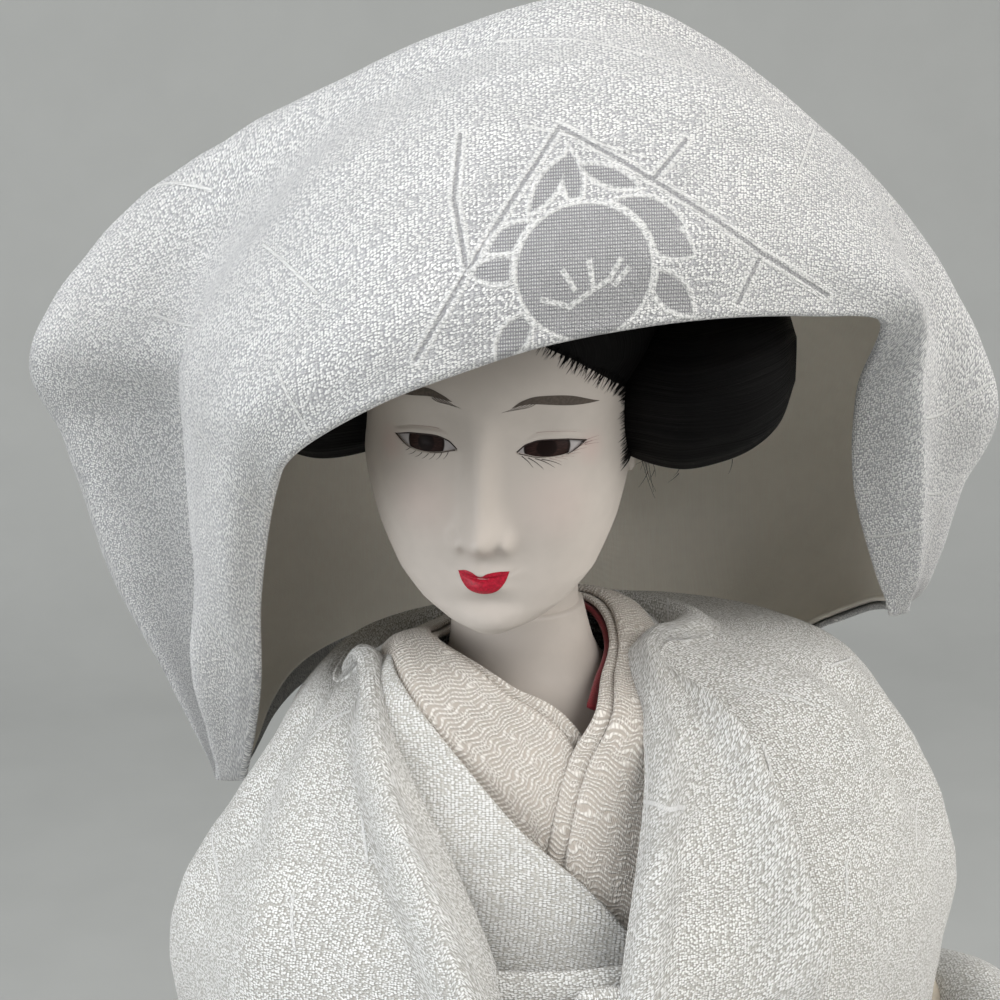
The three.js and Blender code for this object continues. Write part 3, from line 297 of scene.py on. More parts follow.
def strands(name, lines, sides=3):
    """Thin tapered strands as one mesh; each line is (points, radius at its root, radius at its tip)."""
    points, faces, uvs, count = [], [], [], 0
    for line, thick, thin in lines:
        line = np.asarray(line, float)
        size = len(line)
        way = unit(np.gradient(line, axis=0))
        u = unit(np.cross(way, np.array([0.31, 0.52, 0.8])))
        v = np.cross(way, u)
        radius = np.linspace(thick, thin, size)[:, None]
        for k in range(sides):
            a = k / sides * 2 * math.pi
            points.append(line + (u * math.cos(a) + v * math.sin(a)) * radius)
        for k in range(sides):
            m = (k + 1) % sides
            for s in range(size - 1):
                near, far = count + k * size + s, count + m * size + s
                faces.append([near, far, far + 1, near + 1])
                uvs.extend([[k, s], [k + 1, s], [k + 1, s + 1], [k, s + 1]])
        count += sides * size
    return make_object(name, np.concatenate(points), faces, np.array(uvs))


class Net:
    """Writes shader nodes into a tree as short formulas."""

    def __init__(self, tree):
        self.tree = tree

    def put(self, socket, value):
        """Links a socket into an input, or sets the input's own value."""
        if isinstance(value, bpy.types.NodeSocket):
            self.tree.links.new(value, socket)
        else:
            socket.default_value = value

    def add(self, kind, inputs=None, **settings):
        """A node with its settings and inputs."""
        node = self.tree.nodes.new(kind)
        for key, value in settings.items():
            setattr(node, key, value)
        for key, value in (inputs or {}).items():
            self.put(node.inputs[key], value)
        return node

    def math(self, operation, a, b=0.0, c=0.0):
        """One sum on values."""
        return self.add("ShaderNodeMath", {0: a, 1: b, 2: c}, operation=operation).outputs[0]

    def mad(self, a, b, c):
        """a times b, plus c."""
        return self.math("MULTIPLY_ADD", a, b, c)

    def plus(self, a, b):
        """a plus b."""
        return self.math("ADD", a, b)

    def minus(self, a, b):
        """a minus b."""
        return self.math("SUBTRACT", a, b)

    def plain(self, a):
        """a without its sign."""
        return self.math("ABSOLUTE", a)

    def chain(self, operation, values):
        """One sum carried on over values; a first value of None is passed over."""
        made = values[0]
        for value in values[1:]:
            made = value if made is None else self.math(operation, made, value)
        return made

    def times(self, *values):
        """A product of values."""
        return self.chain("MULTIPLY", values)

    def most(self, *values):
        """The largest of values."""
        return self.chain("MAXIMUM", values)

    def least(self, *values):
        """The smallest of values."""
        return self.chain("MINIMUM", values)

    def ramp(self, value, low, high, to_low=0.0, to_high=1.0):
        """A smooth step, which may also fall."""
        inputs = {"Value": value, 1: low, 2: high, 3: to_low, 4: to_high}
        return self.add("ShaderNodeMapRange", inputs, interpolation_type="SMOOTHSTEP").outputs[0]

    def blend(self, factor, a, b):
        """A colour between two."""
        node = self.add("ShaderNodeMix", {0: factor, 6: a, 7: b}, data_type="RGBA")
        return node.outputs[2]

    def place(self, vector, location=(0, 0, 0), angle=0.0, scale=(1, 1, 1)):
        """Coordinates seen from a place: moved, turned and sized so that its shape is a unit one."""
        turn = (0, 0, math.radians(angle))
        inputs = {"Vector": vector, "Location": location, "Rotation": turn, "Scale": scale}
        return self.add("ShaderNodeMapping", inputs, vector_type="TEXTURE").outputs[0]

    def parts(self, vector):
        """x, y and z of a vector."""
        return self.add("ShaderNodeSeparateXYZ", {0: vector}).outputs[:3]

    def vector(self, x=0.0, y=0.0, z=0.0):
        """A vector from its parts."""
        return self.add("ShaderNodeCombineXYZ", {0: x, 1: y, 2: z}).outputs[0]

    def spread(self, x, y, across, along):
        """A flat vector from two values, each scaled."""
        return self.vector(self.times(x, across), self.times(y, along))

    def size(self, vector):
        """A vector's length."""
        return self.add("ShaderNodeVectorMath", {0: vector}, operation="LENGTH").outputs["Value"]

    def noise(self, vector, scale, detail=2.0, rough=0.5):
        """Soft noise from 0 to 1."""
        inputs = {"Vector": vector, "Scale": scale, "Detail": detail, "Roughness": rough}
        return self.add("ShaderNodeTexNoise", inputs).outputs[0]

    def cells(self, vector, loose=1.0):
        """Cells: the distance to the nearest middle, and each cell's own random value."""
        inputs = {"Vector": vector, "Scale": 1.0, "Randomness": loose}
        node = self.add("ShaderNodeTexVoronoi", inputs, voronoi_dimensions="2D")
        luck = self.add("ShaderNodeSeparateColor", {0: node.outputs["Color"]}).outputs[0]
        return node.outputs["Distance"], luck

    def twigs(self, spot, pitch, half, share):
        """Straight woven lines, one in some of the cells of a loose grid; the spot is in millimetres."""
        small = self.add("ShaderNodeVectorMath", {0: spot, "Scale": 1 / pitch}, operation="SCALE").outputs[0]
        node = self.add("ShaderNodeTexVoronoi", {"Vector": small, "Scale": 1.0}, voronoi_dimensions="2D")
        away = self.add("ShaderNodeVectorMath", {0: small, 1: node.outputs["Position"]}, operation="SUBTRACT")
        luck = self.add("ShaderNodeSeparateColor", {0: node.outputs["Color"]}).outputs
        turned = {"Vector": away.outputs[0], "Angle": self.times(luck[0], math.pi)}
        x, y, _ = self.parts(self.add("ShaderNodeVectorRotate", turned, rotation_type="Z_AXIS").outputs[0])
        across = self.ramp(self.plain(y), 0.36 / pitch, 0.2 / pitch)
        inside = self.ramp(self.plain(x), half / pitch, (half - 0.4) / pitch)
        return self.times(across, inside, self.math("LESS_THAN", luck[1], share))

    def wave(self, value, length):
        """A sine of a length in the value's own unit, from -1 to 1."""
        return self.math("SINE", self.times(value, 2 * math.pi / length))

    def use(self, tree, **inputs):
        """A node group with its inputs."""
        return self.add("ShaderNodeGroup", inputs, node_tree=tree, name=tree.name)


SOCKETS = {"Vector": "NodeSocketVector"}


def group(name, inputs, outputs):
    """Turns a function that writes nodes into one that gives a shader node group, made once."""

    def wrap(build):
        def made():
            tree = bpy.data.node_groups.get(name)
            if tree:
                return tree
            tree = bpy.data.node_groups.new(name, "ShaderNodeTree")
            for titles, way in ((inputs, "INPUT"), (outputs, "OUTPUT")):
                for title in titles:
                    kind = SOCKETS.get(title, "NodeSocketFloat")
                    tree.interface.new_socket(title, in_out=way, socket_type=kind)
            net = Net(tree)
            given = net.add("NodeGroupInput").outputs
            wanted = net.add("NodeGroupOutput").inputs
            for title, value in build(net, given).items():
                net.put(wanted[title], value)
            return tree

        return made

    return wrap


# Lengths of the woven details, in millimetres along the cloth.
FLOAT_LONG, FLOAT_WIDE = 0.5, 0.31
SPECK_LONG, SPECK_WIDE = 0.34, 0.24
CREPE_PITCH = 0.74


@group("Silk Floss", ("Vector", "Loose"), ("Floss", "Height"))
def floss_group(net, given):
    """Short bright floats of silk in loose rows; the vector is in millimetres along the cloth."""
    x, y, _ = net.parts(given["Vector"])
    drift = net.noise(net.spread(x, y, 0.07, 0.1), 1.0, 1.0)
    row = net.mad(net.minus(drift, 0.5), 3.0, y)
    spot, chance = net.cells(net.spread(x, row, 1 / FLOAT_LONG, 1 / FLOAT_WIDE), given["Loose"])
    dash = net.times(net.ramp(spot, 0.6, 0.34), net.ramp(chance, 0.05, 0.55, 0.25, 1.0))
    thin, luck = net.cells(net.spread(x, row, 1 / SPECK_LONG, 1 / SPECK_WIDE))
    speck = net.times(net.ramp(thin, 0.45, 0.1), net.ramp(luck, 0.3, 0.8))
    thread = net.most(dash, net.times(speck, 0.6))
    twill = net.wave(net.mad(x, 0.8, net.times(row, 1.7)), 0.34)
    height = net.mad(twill, 0.1, thread)
    return {"Floss": thread, "Height": height}


@group("Plain Weave", ("Vector",), ("Thread", "Slub", "Height"))
def plain_group(net, given):
    """A fine plain weave with slightly uneven threads."""
    x, y, _ = net.parts(given["Vector"])
    uneven = net.noise(net.spread(x, y, 0.5, 3.0), 1.0, 2.0)
    over = net.times(net.wave(x, 0.5), net.wave(y, 0.42))
    thread = net.mad(over, 0.5, 0.5)
    slub = net.ramp(uneven, 0.3, 0.75)
    return {"Thread": thread, "Slub": slub, "Height": net.mad(slub, 0.5, thread)}


@group("Crepe Waves", ("Vector",), ("Ridge", "Height"))
def crepe_group(net, given):
    """Wavy raised lines across a collar, with beads of thread between some of them."""
    x, y, _ = net.parts(given["Vector"])
    drift = net.noise(net.spread(x, y, 0.16, 0.3), 1.0, 2.0)
    bend = net.wave(net.mad(net.minus(drift, 0.5), 5.0, x), 3.5)
    line = net.mad(bend, 0.3, net.mad(drift, 2.0, y))
    share = net.math("FRACT", net.math("DIVIDE", line, CREPE_PITCH))
    off = net.plain(net.minus(share, 0.5))
    ridge = net.ramp(off, 0.34, 0.12)
    broken = net.noise(net.spread(x, y, 1.3, 0.8), 1.0, 1.0)
    knot = net.ramp(net.wave(net.mad(drift, 2.0, x), 0.55), -0.9, 0.0, 0.5, 1.0)
    ridge = net.times(ridge, net.ramp(broken, 0.25, 0.5, 0.35, 1.0), knot)
    patchy = net.ramp(net.noise(net.spread(x, y, 0.55, 0.75), 1.0, 1.0), 0.5, 0.6)
    bead = net.ramp(net.wave(x, 0.42), -0.1, 0.8)
    beads = net.times(bead, patchy, net.ramp(off, 0.15, 0.35))
    fine = net.times(net.wave(x, 0.27), 0.1)
    height = net.plus(net.most(ridge, beads), fine)
    return {"Ridge": net.most(ridge, net.times(beads, 0.85)), "Height": height}


@group("Soft Tone", ("Vector",), ("Tone",))
def tone_group(net, given):
    """Large soft differences of tone over a surface."""
    wide = net.noise(given["Vector"], 45.0, 3.0)
    close = net.noise(given["Vector"], 420.0, 2.0)
    return {"Tone": net.mad(close, 0.35, net.times(wide, 0.65))}


@group("Combed Strands", ("Vector",), ("Strand", "Height"))
def strand_group(net, given):
    """Combed hair: many fine strands side by side; the vector's y runs along them."""
    x, y, _ = net.parts(given["Vector"])
    bend = net.noise(net.spread(x, y, 0.1, 0.05), 1.0, 1.0)
    side = net.mad(bend, 3.0, x)
    lock = net.noise(net.spread(side, y, 1.4, 0.03), 1.0, 2.0)
    hair = net.noise(net.spread(side, y, 8.0, 0.05), 1.0, 2.0)
    return {"Strand": hair, "Height": net.mad(lock, 1.3, hair)}


# The hood's woven figure: leaves as middle x, y, half length, half width and angle; lines as two ends.
FRUIT_RADIUS = 9.0
LEAVES = [
    (8.2, 6.9, 5.6, 2.6, -18), (11.2, 3.2, 4.0, 2.3, -30), (11.6, -3.4, 4.6, 2.1, -44),
    (-1.5, 12.4, 4.6, 1.5, 96), (-4.6, 11.8, 5.0, 1.6, 58), (3.4, 12.4, 4.6, 1.5, -24),
    (-9.4, 4.8, 4.2, 1.9, 24), (-11.0, 0.6, 4.2, 1.9, 2), (-9.2, -8.0, 3.8, 2.0, 54),
]
FRAME_LINES = [
    ((-3.0, 20.0), (-21.7, -9.8)), ((-3.0, 20.0), (24.4, 1.3)), ((24.4, 1.3), (34.5, -4.2)),
    ((9.2, 11.7), (13.9, 17.2)), ((-16.2, 20.0), (-16.9, 10.9)), ((-16.9, 10.9), (-15.3, 1.6)),
    ((23.8, 0.6), (21.0, -5.0)),
]
VEINS = [
    ((0.6, 0.9), (1.0, -2.2)), ((-2.8, -0.2), (-1.4, -2.4)), ((-5.4, -3.6), (-2.0, -4.6)),
    ((-2.0, -4.6), (0.8, -2.8)), ((4.6, 1.0), (3.2, -1.4)), ((3.2, -1.4), (0.8, -2.8)),
    ((5.6, -0.2), (4.0, -2.0)),
]


@group("Mandarin Figure", ("Vector",), ("Shape", "Edge", "Frame", "Groove", "Ground"))
def figure_group(net, given):
    """A woven mandarin with its leaves in a diamond frame, as masks; the vector is in millimetres."""
    spot = given["Vector"]

    def nearest(lines):
        made = None
        for (x0, y0), (x1, y1) in lines:
            half = math.hypot(x1 - x0, y1 - y0) / 2
            angle = math.degrees(math.atan2(y1 - y0, x1 - x0))
            x, y, _ = net.parts(net.place(spot, ((x0 + x1) / 2, (y0 + y1) / 2, 0), angle))
            past = net.minus(net.plain(x), half)
            away = net.most(net.plain(y), past)
            made = net.least(made, away)
        return made

    round_ = net.minus(net.size(spot), FRUIT_RADIUS)
    leaf = None
    for x, y, long, wide, angle in LEAVES:
        px, py, _ = net.parts(net.place(spot, (x, y, 0), angle, (long, wide, 1)))
        lens = net.mad(px, px, net.plain(py))
        away = net.mad(lens, wide * 0.75, -wide * 0.75)
        leaf = net.least(leaf, away)
    leaf = net.most(leaf, net.minus(0.5, round_))
    outline = net.least(round_, leaf)
    shape = net.ramp(outline, 0.1, -0.2)
    border = net.ramp(net.plain(outline), 0.42, 0.12)
    edge = net.most(border, net.ramp(nearest(VEINS), 0.5, 0.2))
    line = nearest(FRAME_LINES)
    ground = net.times(net.ramp(net.size(spot), 20.0, 17.0), net.minus(1.0, shape))
    frame_line = net.ramp(net.plain(net.minus(line, 0.62)), 0.42, 0.16)
    groove = net.ramp(line, 0.34, 0.14)
    return {"Shape": shape, "Edge": edge, "Frame": frame_line, "Groove": groove, "Ground": ground}


def rgba(colour, factor=1.0):
    """A colour with its alpha, made darker or lighter."""
    return (*(min(1.0, c * factor) for c in tuple(colour)[:3]), 1.0)


def in_mm(net, layer="weave"):
    """A UV layer's coordinates in millimetres."""
    uv = net.add("ShaderNodeUVMap", uv_map=layer).outputs[0]
    return net.add("ShaderNodeVectorMath", {0: uv, "Scale": 1000.0}, operation="SCALE").outputs[0]


def in_place(net):
    """The object's own coordinates, in metres."""
    return net.add("ShaderNodeTexCoord").outputs["Object"]


def soft_tone(net, a, b, low=0.3):
    """A colour that drifts between two over the object."""
    tone = net.use(tone_group(), Vector=in_place(net)).outputs["Tone"]
    return net.blend(net.ramp(tone, low, 0.7), a, b)


PORTS = {
    "colour": "Base Color", "rough": "Roughness", "sheen": "Sheen Weight", "specular": "Specular IOR Level",
    "metal": "Metallic", "coat": "Coat Weight",
}


def dressed(net, shader, height, strength, distance, **ports):
    """Sets a shader's ports by their short names, and raises the surface by a height."""
    for key, value in ports.items():
        net.put(shader.inputs[PORTS[key]], value)
    inputs = {"Strength": strength, "Distance": distance, "Height": height}
    net.put(shader.inputs["Normal"], net.add("ShaderNodeBump", inputs).outputs[0])


def woven_figure(net, colour, height, ground, floss):
    """Lays the hood's woven figure over a cloth's colour and height; its satin dots, raised edges and frame
    lines take the floss colour, partly their own white and partly a painted glint.
    """
    seen = in_mm(net, "figure")
    made = net.use(figure_group(), Vector=seen).outputs
    x, y, _ = net.parts(seen)
    up, down = net.mad(y, 0.7, x), net.mad(y, -0.7, x)
    dot = net.ramp(net.times(net.wave(up, 0.66), net.wave(down, 0.66)), 0.0, 0.6)
    satin = net.blend(net.times(dot, 0.55), rgba(ground, 0.7), rgba(floss))
    colour = net.blend(net.times(made["Shape"], 0.97), colour, satin)
    gap = net.ramp(net.times(net.wave(up, 1.7), net.wave(down, 1.7)), 0.3, 0.6)
    colour = net.blend(net.times(made["Ground"], gap, 0.7), colour, rgba(ground, 0.85))
    colour = net.blend(net.times(made["Groove"], 0.7), colour, rgba(ground, 0.75))
    bead = net.ramp(net.plus(net.wave(x, 0.85), net.wave(y, 0.85)), -1.3, 0.3, 0.35, 1.0)
    twill = net.ramp(net.wave(net.plus(y, net.times(x, 0.5)), 0.7), -0.7, 0.3, 0.35, 1.0)
    raised = net.most(net.times(made["Edge"], bead), net.times(made["Frame"], twill))
    # The raised edges and frame lines are painted with the floss colour: partly their own white, partly a
    # painted glint.
    colour = net.blend(net.times(raised, 0.8), colour, rgba(floss))
    low = net.plus(made["Shape"], made["Groove"])
    return colour, net.mad(low, -0.5, net.mad(raised, 0.9, height))


def brocade_material(net, shader, ground, floss, shade, figure=False, lines=0.0, loose=0.75, slant=0.0):
    """Silk brocade: floats on a ground, woven lines, and on the hood the woven figure; the floats and lines
    take the far lighter floss colour, partly their own white and partly a painted glint.
    """
    spot = in_mm(net)
    laid = net.place(spot, angle=slant) if slant else spot
    weave = net.use(floss_group(), Vector=laid, Loose=loose).outputs
    bright, height = weave["Floss"], weave["Height"]
    # Painted glint: the floats take the floss colour, far lighter than the ground, on top of their own white.
    colour = net.blend(bright, soft_tone(net, rgba(ground), rgba(ground, shade)), rgba(floss))
    if lines:
        short = net.twigs(spot, lines, lines * 0.4, 0.22)
        line = net.most(short, net.twigs(spot, lines * 1.7, lines * 0.7, 0.25))
        x, y, _ = net.parts(spot)
        line = net.times(line, net.ramp(net.wave(net.plus(x, y), 0.7), -0.9, 0.1, 0.6, 1.0))
        colour = net.blend(line, colour, rgba(floss))
        height = net.mad(line, 1.6, height)
    if figure:
        colour, height = woven_figure(net, colour, height, ground, floss)
    rough = net.ramp(bright, 0.0, 1.0, 0.62, 0.42)
    dressed(net, shader, height, 1.0, 0.0002, colour=colour, rough=rough, sheen=0.2, specular=0.4)


def silk_material(net, shader, colour, shade, strength=0.25):
    """Plain silk with a fine weave."""
    weave = net.use(plain_group(), Vector=in_mm(net)).outputs
    base = soft_tone(net, rgba(shade), rgba(colour))
    thread = net.blend(net.times(weave["Slub"], 0.35), base, rgba(colour, 1.1))
    rough = net.ramp(weave["Thread"], 0, 1, 0.75, 0.6)
    dressed(net, shader, weave["Height"], strength, 0.00012, colour=thread, rough=rough, sheen=0.2)


def crepe_material(net, shader, ground, ridge):
    """Crepe with raised wavy lines."""
    weave = net.use(crepe_group(), Vector=in_mm(net)).outputs
    colour = net.blend(weave["Ridge"], soft_tone(net, rgba(ground), rgba(ground, 0.86)), rgba(ridge))
    rough = net.ramp(weave["Ridge"], 0, 1, 0.75, 0.5)
    dressed(net, shader, weave["Height"], 0.8, 0.0003, colour=colour, rough=rough, sheen=0.15)


# Blush on the face: x and z in the head's frame, reach and strength.
BLUSHES = [(14.5, 0.4, 4.0, 0.3), (-14.5, 0.4, 4.0, 0.3), (10.0, -7.0, 8.0, 0.16), (-10.0, -7.0, 8.0, 0.16)]


def skin_material(net, shader, colour, blush):
    """Shell-white finish: matte, very slightly uneven, with a breath of pink at the eyes and cheeks."""
    spot = in_place(net)
    base = soft_tone(net, rgba(colour), rgba(colour, 0.93), 0.35)
    warm = None
    for x, z, reach, strength in BLUSHES:
        middle = place_head(np.array([x, float(face_y(x, z)), z])) * MM
        away = net.add("ShaderNodeVectorMath", {0: spot, 1: tuple(middle)}, operation="DISTANCE")
        warm = net.most(warm, net.ramp(away.outputs["Value"], reach * MM, 0.0, 0.0, strength))
    fine = net.noise(spot, 9000.0, 2.0)
    rough = net.ramp(fine, 0.2, 0.8, 0.5, 0.62)
    tinted = net.blend(warm, base, rgba(blush))
    dressed(net, shader, fine, 0.03, 0.00005, colour=tinted, rough=rough, specular=0.3)


def streaked(net, line, colour, spread):
    """A colour that is darker and lighter along a grain."""
    return net.blend(net.ramp(line, 0.3, 0.7), rgba(colour, 1 - spread), rgba(colour, 1 + spread))


def paint_material(net, shader, colour, rough, streak=0.25):
    """Brush paint with slightly uneven strokes."""
    brush = net.noise(in_place(net), 2600.0, 3.0, 0.6)
    uneven = net.ramp(brush, 0.2, 0.8, rough, min(1, rough + 0.15))
    paint = streaked(net, brush, colour, streak)
    dressed(net, shader, brush, 0.05, 0.00004, colour=paint, rough=uneven, specular=0.35)


def hair_material(net, shader, colour):
    """Black silk hair, combed."""
    hair = net.use(strand_group(), Vector=in_mm(net)).outputs
    strand = net.ramp(hair["Strand"], 0.3, 0.75)
    combed = net.blend(strand, rgba(colour, 0.5), rgba(colour, 1.8))
    rough = net.ramp(strand, 0, 1, 0.72, 0.55)
    dressed(net, shader, hair["Height"], 0.5, 0.0003, colour=combed, rough=rough, specular=0.08)


def eye_material(net, shader, iris, white):
    """Glass eye: dark iris with a fine ring on a grey-white ball; UV is measured from the iris's middle."""
    spot = in_mm(net)
    x, y, _ = net.parts(spot)
    away = net.size(spot)
    turn = net.math("ARCTAN2", y, x)
    fibre = net.noise(net.spread(turn, away, 3.0, 0.4), 3.0, 3.0)
    brown = net.blend(net.ramp(fibre, 0.3, 0.75), rgba(iris, 0.6), rgba(iris, 1.5))
    brown = net.blend(net.ramp(away, 1.35, 1.1), brown, rgba(iris, 0.35))
    brown = net.blend(net.ramp(away, 2.25, 2.65), brown, rgba(iris, 0.4))
    tone = net.ramp(net.noise(spot, 0.6, 2.0), 0.3, 0.7)
    ball = net.blend(tone, rgba(white), rgba(white, 0.85))
    colour = net.blend(net.ramp(away, 2.85, 2.65), ball, brown)
    rough = net.ramp(away, 2.6, 2.9, 0.3, 0.4)
    dressed(net, shader, fibre, 0.02, 0.00005, colour=colour, rough=rough, specular=0.12)


def hard_material(
    net, shader, colour, rough, metal=0.0, grain=(1.0, 1.0, 1.0), scale=300.0, spread=0.3, bump=0.05, coat=0.0
):
    """Lacquer, steel, wood or straw: grain stretched along the object."""
    spot = net.add("ShaderNodeVectorMath", {0: in_place(net), 1: grain}, operation="MULTIPLY").outputs[0]
    line = net.noise(spot, scale, 4.0, 0.6)
    uneven = net.ramp(line, 0.2, 0.8, rough, min(1, rough + 0.18))
    paint = streaked(net, line, colour, spread)
    dressed(net, shader, line, bump, 0.0002, colour=paint, rough=uneven, metal=metal, coat=coat)


def cord_material(net, shader, colour):
    """Braided silk cord: strands that cross at a slant."""
    x, y, _ = net.parts(in_mm(net))
    one = net.wave(net.plus(x, y), 1.1)
    braid = net.most(one, net.wave(net.minus(x, y), 1.1))
    silk = net.blend(net.ramp(braid, -0.6, 0.9), rgba(colour, 0.55), rgba(colour))
    dressed(net, shader, braid, 0.7, 0.0004, colour=silk, rough=net.ramp(braid, -1, 1, 0.7, 0.42))


COLOURS = {
    "hood_ground": ("Hood ground", (0.41, 0.41, 0.43)),
    "robe_ground": ("Robe ground", (0.41, 0.395, 0.36)),
    # The floss colour is far lighter than the grounds: partly the floats' own white silk, partly a painted
    # glint on them.
    "floss": ("Raised floss", (0.98, 0.98, 0.965)),
    "silk": ("Plain silk", (0.78, 0.76, 0.7)),
    "lining": ("Hood lining", (0.98, 0.92, 0.82)),
    "crepe_ground": ("Crepe ground", (0.56, 0.5, 0.44)),
    "crepe_ridge": ("Crepe ridges", (0.96, 0.92, 0.86)),
    "red_silk": ("Red under-collar", (0.2, 0.006, 0.012)),
    "skin": ("Skin", (0.54, 0.49, 0.445)),
    "blush": ("Blush", (0.6, 0.4, 0.37)),
    "lips": ("Lips", (0.36, 0.004, 0.022)),
    "brow": ("Brow paint", (0.085, 0.068, 0.055)),
    "lash": ("Lash paint", (0.03, 0.018, 0.016)),
    "iris": ("Iris", (0.028, 0.014, 0.012)),
    "eye_white": ("Eye white", (0.5, 0.47, 0.47)),
    "hair": ("Hair", (0.0022, 0.002, 0.002)),
    "cord": ("Sash cord", (0.62, 0.5, 0.24)),
    "lacquer": ("Base lacquer", (0.007, 0.004, 0.004)),
    "wall": ("Wall and floor", (0.42, 0.43, 0.42)),
}
SIZES = {
    "eye_recess": ("Eye recess", "How far the eyes lie behind the lids", 0.00045),
    "hood_rim": ("Hood rim", "Thickness of the hood's rolled rim", 0.0024),
    "hair_radius": ("Hair radius", "Radius of the loose hairs at their roots", 0.00009),
}


class DollColours(bpy.types.PropertyGroup):
    """Colours of the doll's materials."""

    __annotations__ = {
        key: FloatVectorProperty(
            name=title, description=f"Colour of: {title.lower()}", default=value,
            size=3, min=0.0, max=1.0, subtype="COLOR",
        )
        for key, (title, value) in COLOURS.items()
    }


class DollSizes(bpy.types.PropertyGroup):
    """Sizes of the doll's small details."""

    __annotations__ = {
        key: FloatProperty(name=title, description=text, default=value, min=0.0, precision=5, unit="LENGTH")
        for key, (title, text, value) in SIZES.items()
    }


def colour(key):
    """A colour as set in the panel."""
    return tuple(getattr(bpy.context.scene.doll_colours, key))


def size_mm(key):
    """A size as set in the panel, in millimetres."""
    return getattr(bpy.context.scene.doll_sizes, key) / MM


def finish_piece(obj, body, slot, material, *nodes):
    """Gives a piece its material and its body, and hides the CAD nodes that it stands for."""
    obj.data.materials.append(material)
    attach(obj, body)
    if nodes:
        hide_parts(*nodes)
    return obj


def sheet_piece(obj, body, slot, material, node, flat, held, rests_on, **more):
    """Finishes a piece that is a sheet of cloth."""
    finish_piece(obj, body, slot, material, node)


def once(name, build, *args, **more):
    """A material by name, whose nodes are written the first time."""
    material = bpy.data.materials.get(name)
    if not material:
        material = bpy.data.materials.new(name)
        material.use_nodes = True
        tree = material.node_tree
        build(Net(tree), tree.nodes["Principled BSDF"], *args, **more)
    return material


def skin():
    """The skin's material."""
    return once("shell_skin", skin_material, colour("skin"), colour("blush"))


def hair():
    """The hair's material."""
    return once("silk_hair", hair_material, colour("hair"))


def robe_cloth():
    """The robe's brocade."""
    return once("robe_brocade", brocade_material, colour("robe_ground"), colour("floss"), 0.93, lines=15.0)


def kimono_cloth():
    """The kimono's finer brocade, laid at a slant."""
    ground = scaled(colour("robe_ground"), 1.3)
    return once("kimono_brocade", brocade_material, ground, colour("floss"), 0.95, loose=0.5, slant=38.0)


def silk_cloth(name, key, shade=0.93, *more):
    """Plain silk in one of the panel's colours."""
    return once(name, silk_material, colour(key), scaled(colour(key), shade), *more)


def plain_cloth():
    """The kimono's plain silk."""
    return silk_cloth("white_silk", "silk")


# Head. Its own frame has X to the viewer's right and the face to -Y; then it is turned, nodded and placed.
YAW, NOD = math.radians(-16), math.radians(8)
YAWED = np.array([[math.cos(YAW), -math.sin(YAW), 0], [math.sin(YAW), math.cos(YAW), 0], [0, 0, 1]])
NODDED = np.array([[1, 0, 0], [0, math.cos(NOD), -math.sin(NOD)], [0, math.sin(NOD), math.cos(NOD)]])
TURN = YAWED @ NODDED
head_width = profile([
    (-27.3, 3.4), (-25.9, 7.6), (-23.6, 11.4), (-20, 14.9), (-14, 17.7), (-6, 19.5), (2, 20),
    (10, 20), (17, 18.6), (23, 15), (27.5, 9.5), (30, 2),
])
head_front = profile([
    (-27.3, 4), (-25.9, 6.8), (-23.6, 9.5), (-20, 13.4), (-14, 16.8), (-6, 19.4), (2, 20.6),
    (10, 22.6), (17, 21.5), (23, 17.5), (27.5, 11), (30, 2),
])
head_back = profile([
    (-27.3, 3), (-25.9, 5), (-23.6, 8), (-20, 14), (-14, 19.5), (-6, 23.5), (2, 25.5),
    (10, 26.5), (17, 25), (23, 20), (27.5, 12.5), (30, 2),
])
head_middle = profile([
    (-27.3, -18), (-25.9, -15.8), (-23.6, -13.4), (-20, -9.6), (-14, -5.6), (-6, -2.4), (2, -1),
    (10, -0.6), (30, 0),
])
nose_height = profile([
    (-18, 0), (-16, 0.1), (-14.4, 0.7), (-12.8, 1.9), (-11, 2.9), (-8.5, 3.2), (-4, 2.8), (1, 1.9),
    (5, 0.9), (9, 0),
])
nose_width = profile([(-15, 2.2), (-12, 2.4), (-9, 2.3), (-5, 2.1), (2, 2.3), (9, 3.4)])
# The lids, from the inner to the outer corner, for the eye at +X; the other eye lies a little higher.
lid_upper = profile([(4.2, 1.0), (5.5, 2.1), (7.6, 2.68), (11.3, 2.55), (13.9, 1.75)])
lid_lower = profile([(4.2, 1.0), (5.0, 0.8), (6.9, 0.35), (9.4, 0.18), (11.9, 0.52), (13.9, 1.75)])
EYE_RISE = {1: 0.0, -1: 0.28}
EYE_INNER, EYE_OUTER = 4.2, 13.9
MOUTH_X = -0.55
# The head's outline is squared off a little by this power.
ROUND = 0.92


def place_head(p):
    """Points of the head's own frame in the part's frame."""
    return np.asarray(p) @ TURN.T + HEAD


def eye_depth(x, z):
    """How far inside an eye's opening a point of the face lies, in millimetres; below 0 outside."""
    a = np.abs(x)
    rise = np.where(x > 0, EYE_RISE[1], EYE_RISE[-1])
    inside = np.minimum(lid_upper(a) + rise - z, z - lid_lower(a) - rise)
    return np.where((a > EYE_INNER) & (a < EYE_OUTER), inside, -1.0)


# Forms of the face: where x is measured from, height, middle and width across, middle and width up.
FACE_FORMS = [
    ("nose", 2.9, 0, 3.0, -11.3, 2.6), ("nostrils", 1.5, 3.6, 1.1, -12.4, 1.6),
    ("mouth", 0.8, 0, 4.4, -17.2, 1.1), ("mouth", 1.25, 0, 3.4, -19.2, 1.3),
    ("mouth", -0.22, 0, 0.9, -15.6, 1.2), ("mouth", -0.5, 0, 4, -22.2, 1.1),
    ("middle", 1.3, 0, 5, -25.2, 2.4), ("sides", 0.9, 10, 5.5, -9, 6.5), ("sides", 0.9, 14, 5, -7, 8),
    ("sides", -1.3, 7.2, 4.2, 4.2, 3.4), ("sides", 0.9, 9, 4.4, 1.8, 3),
]


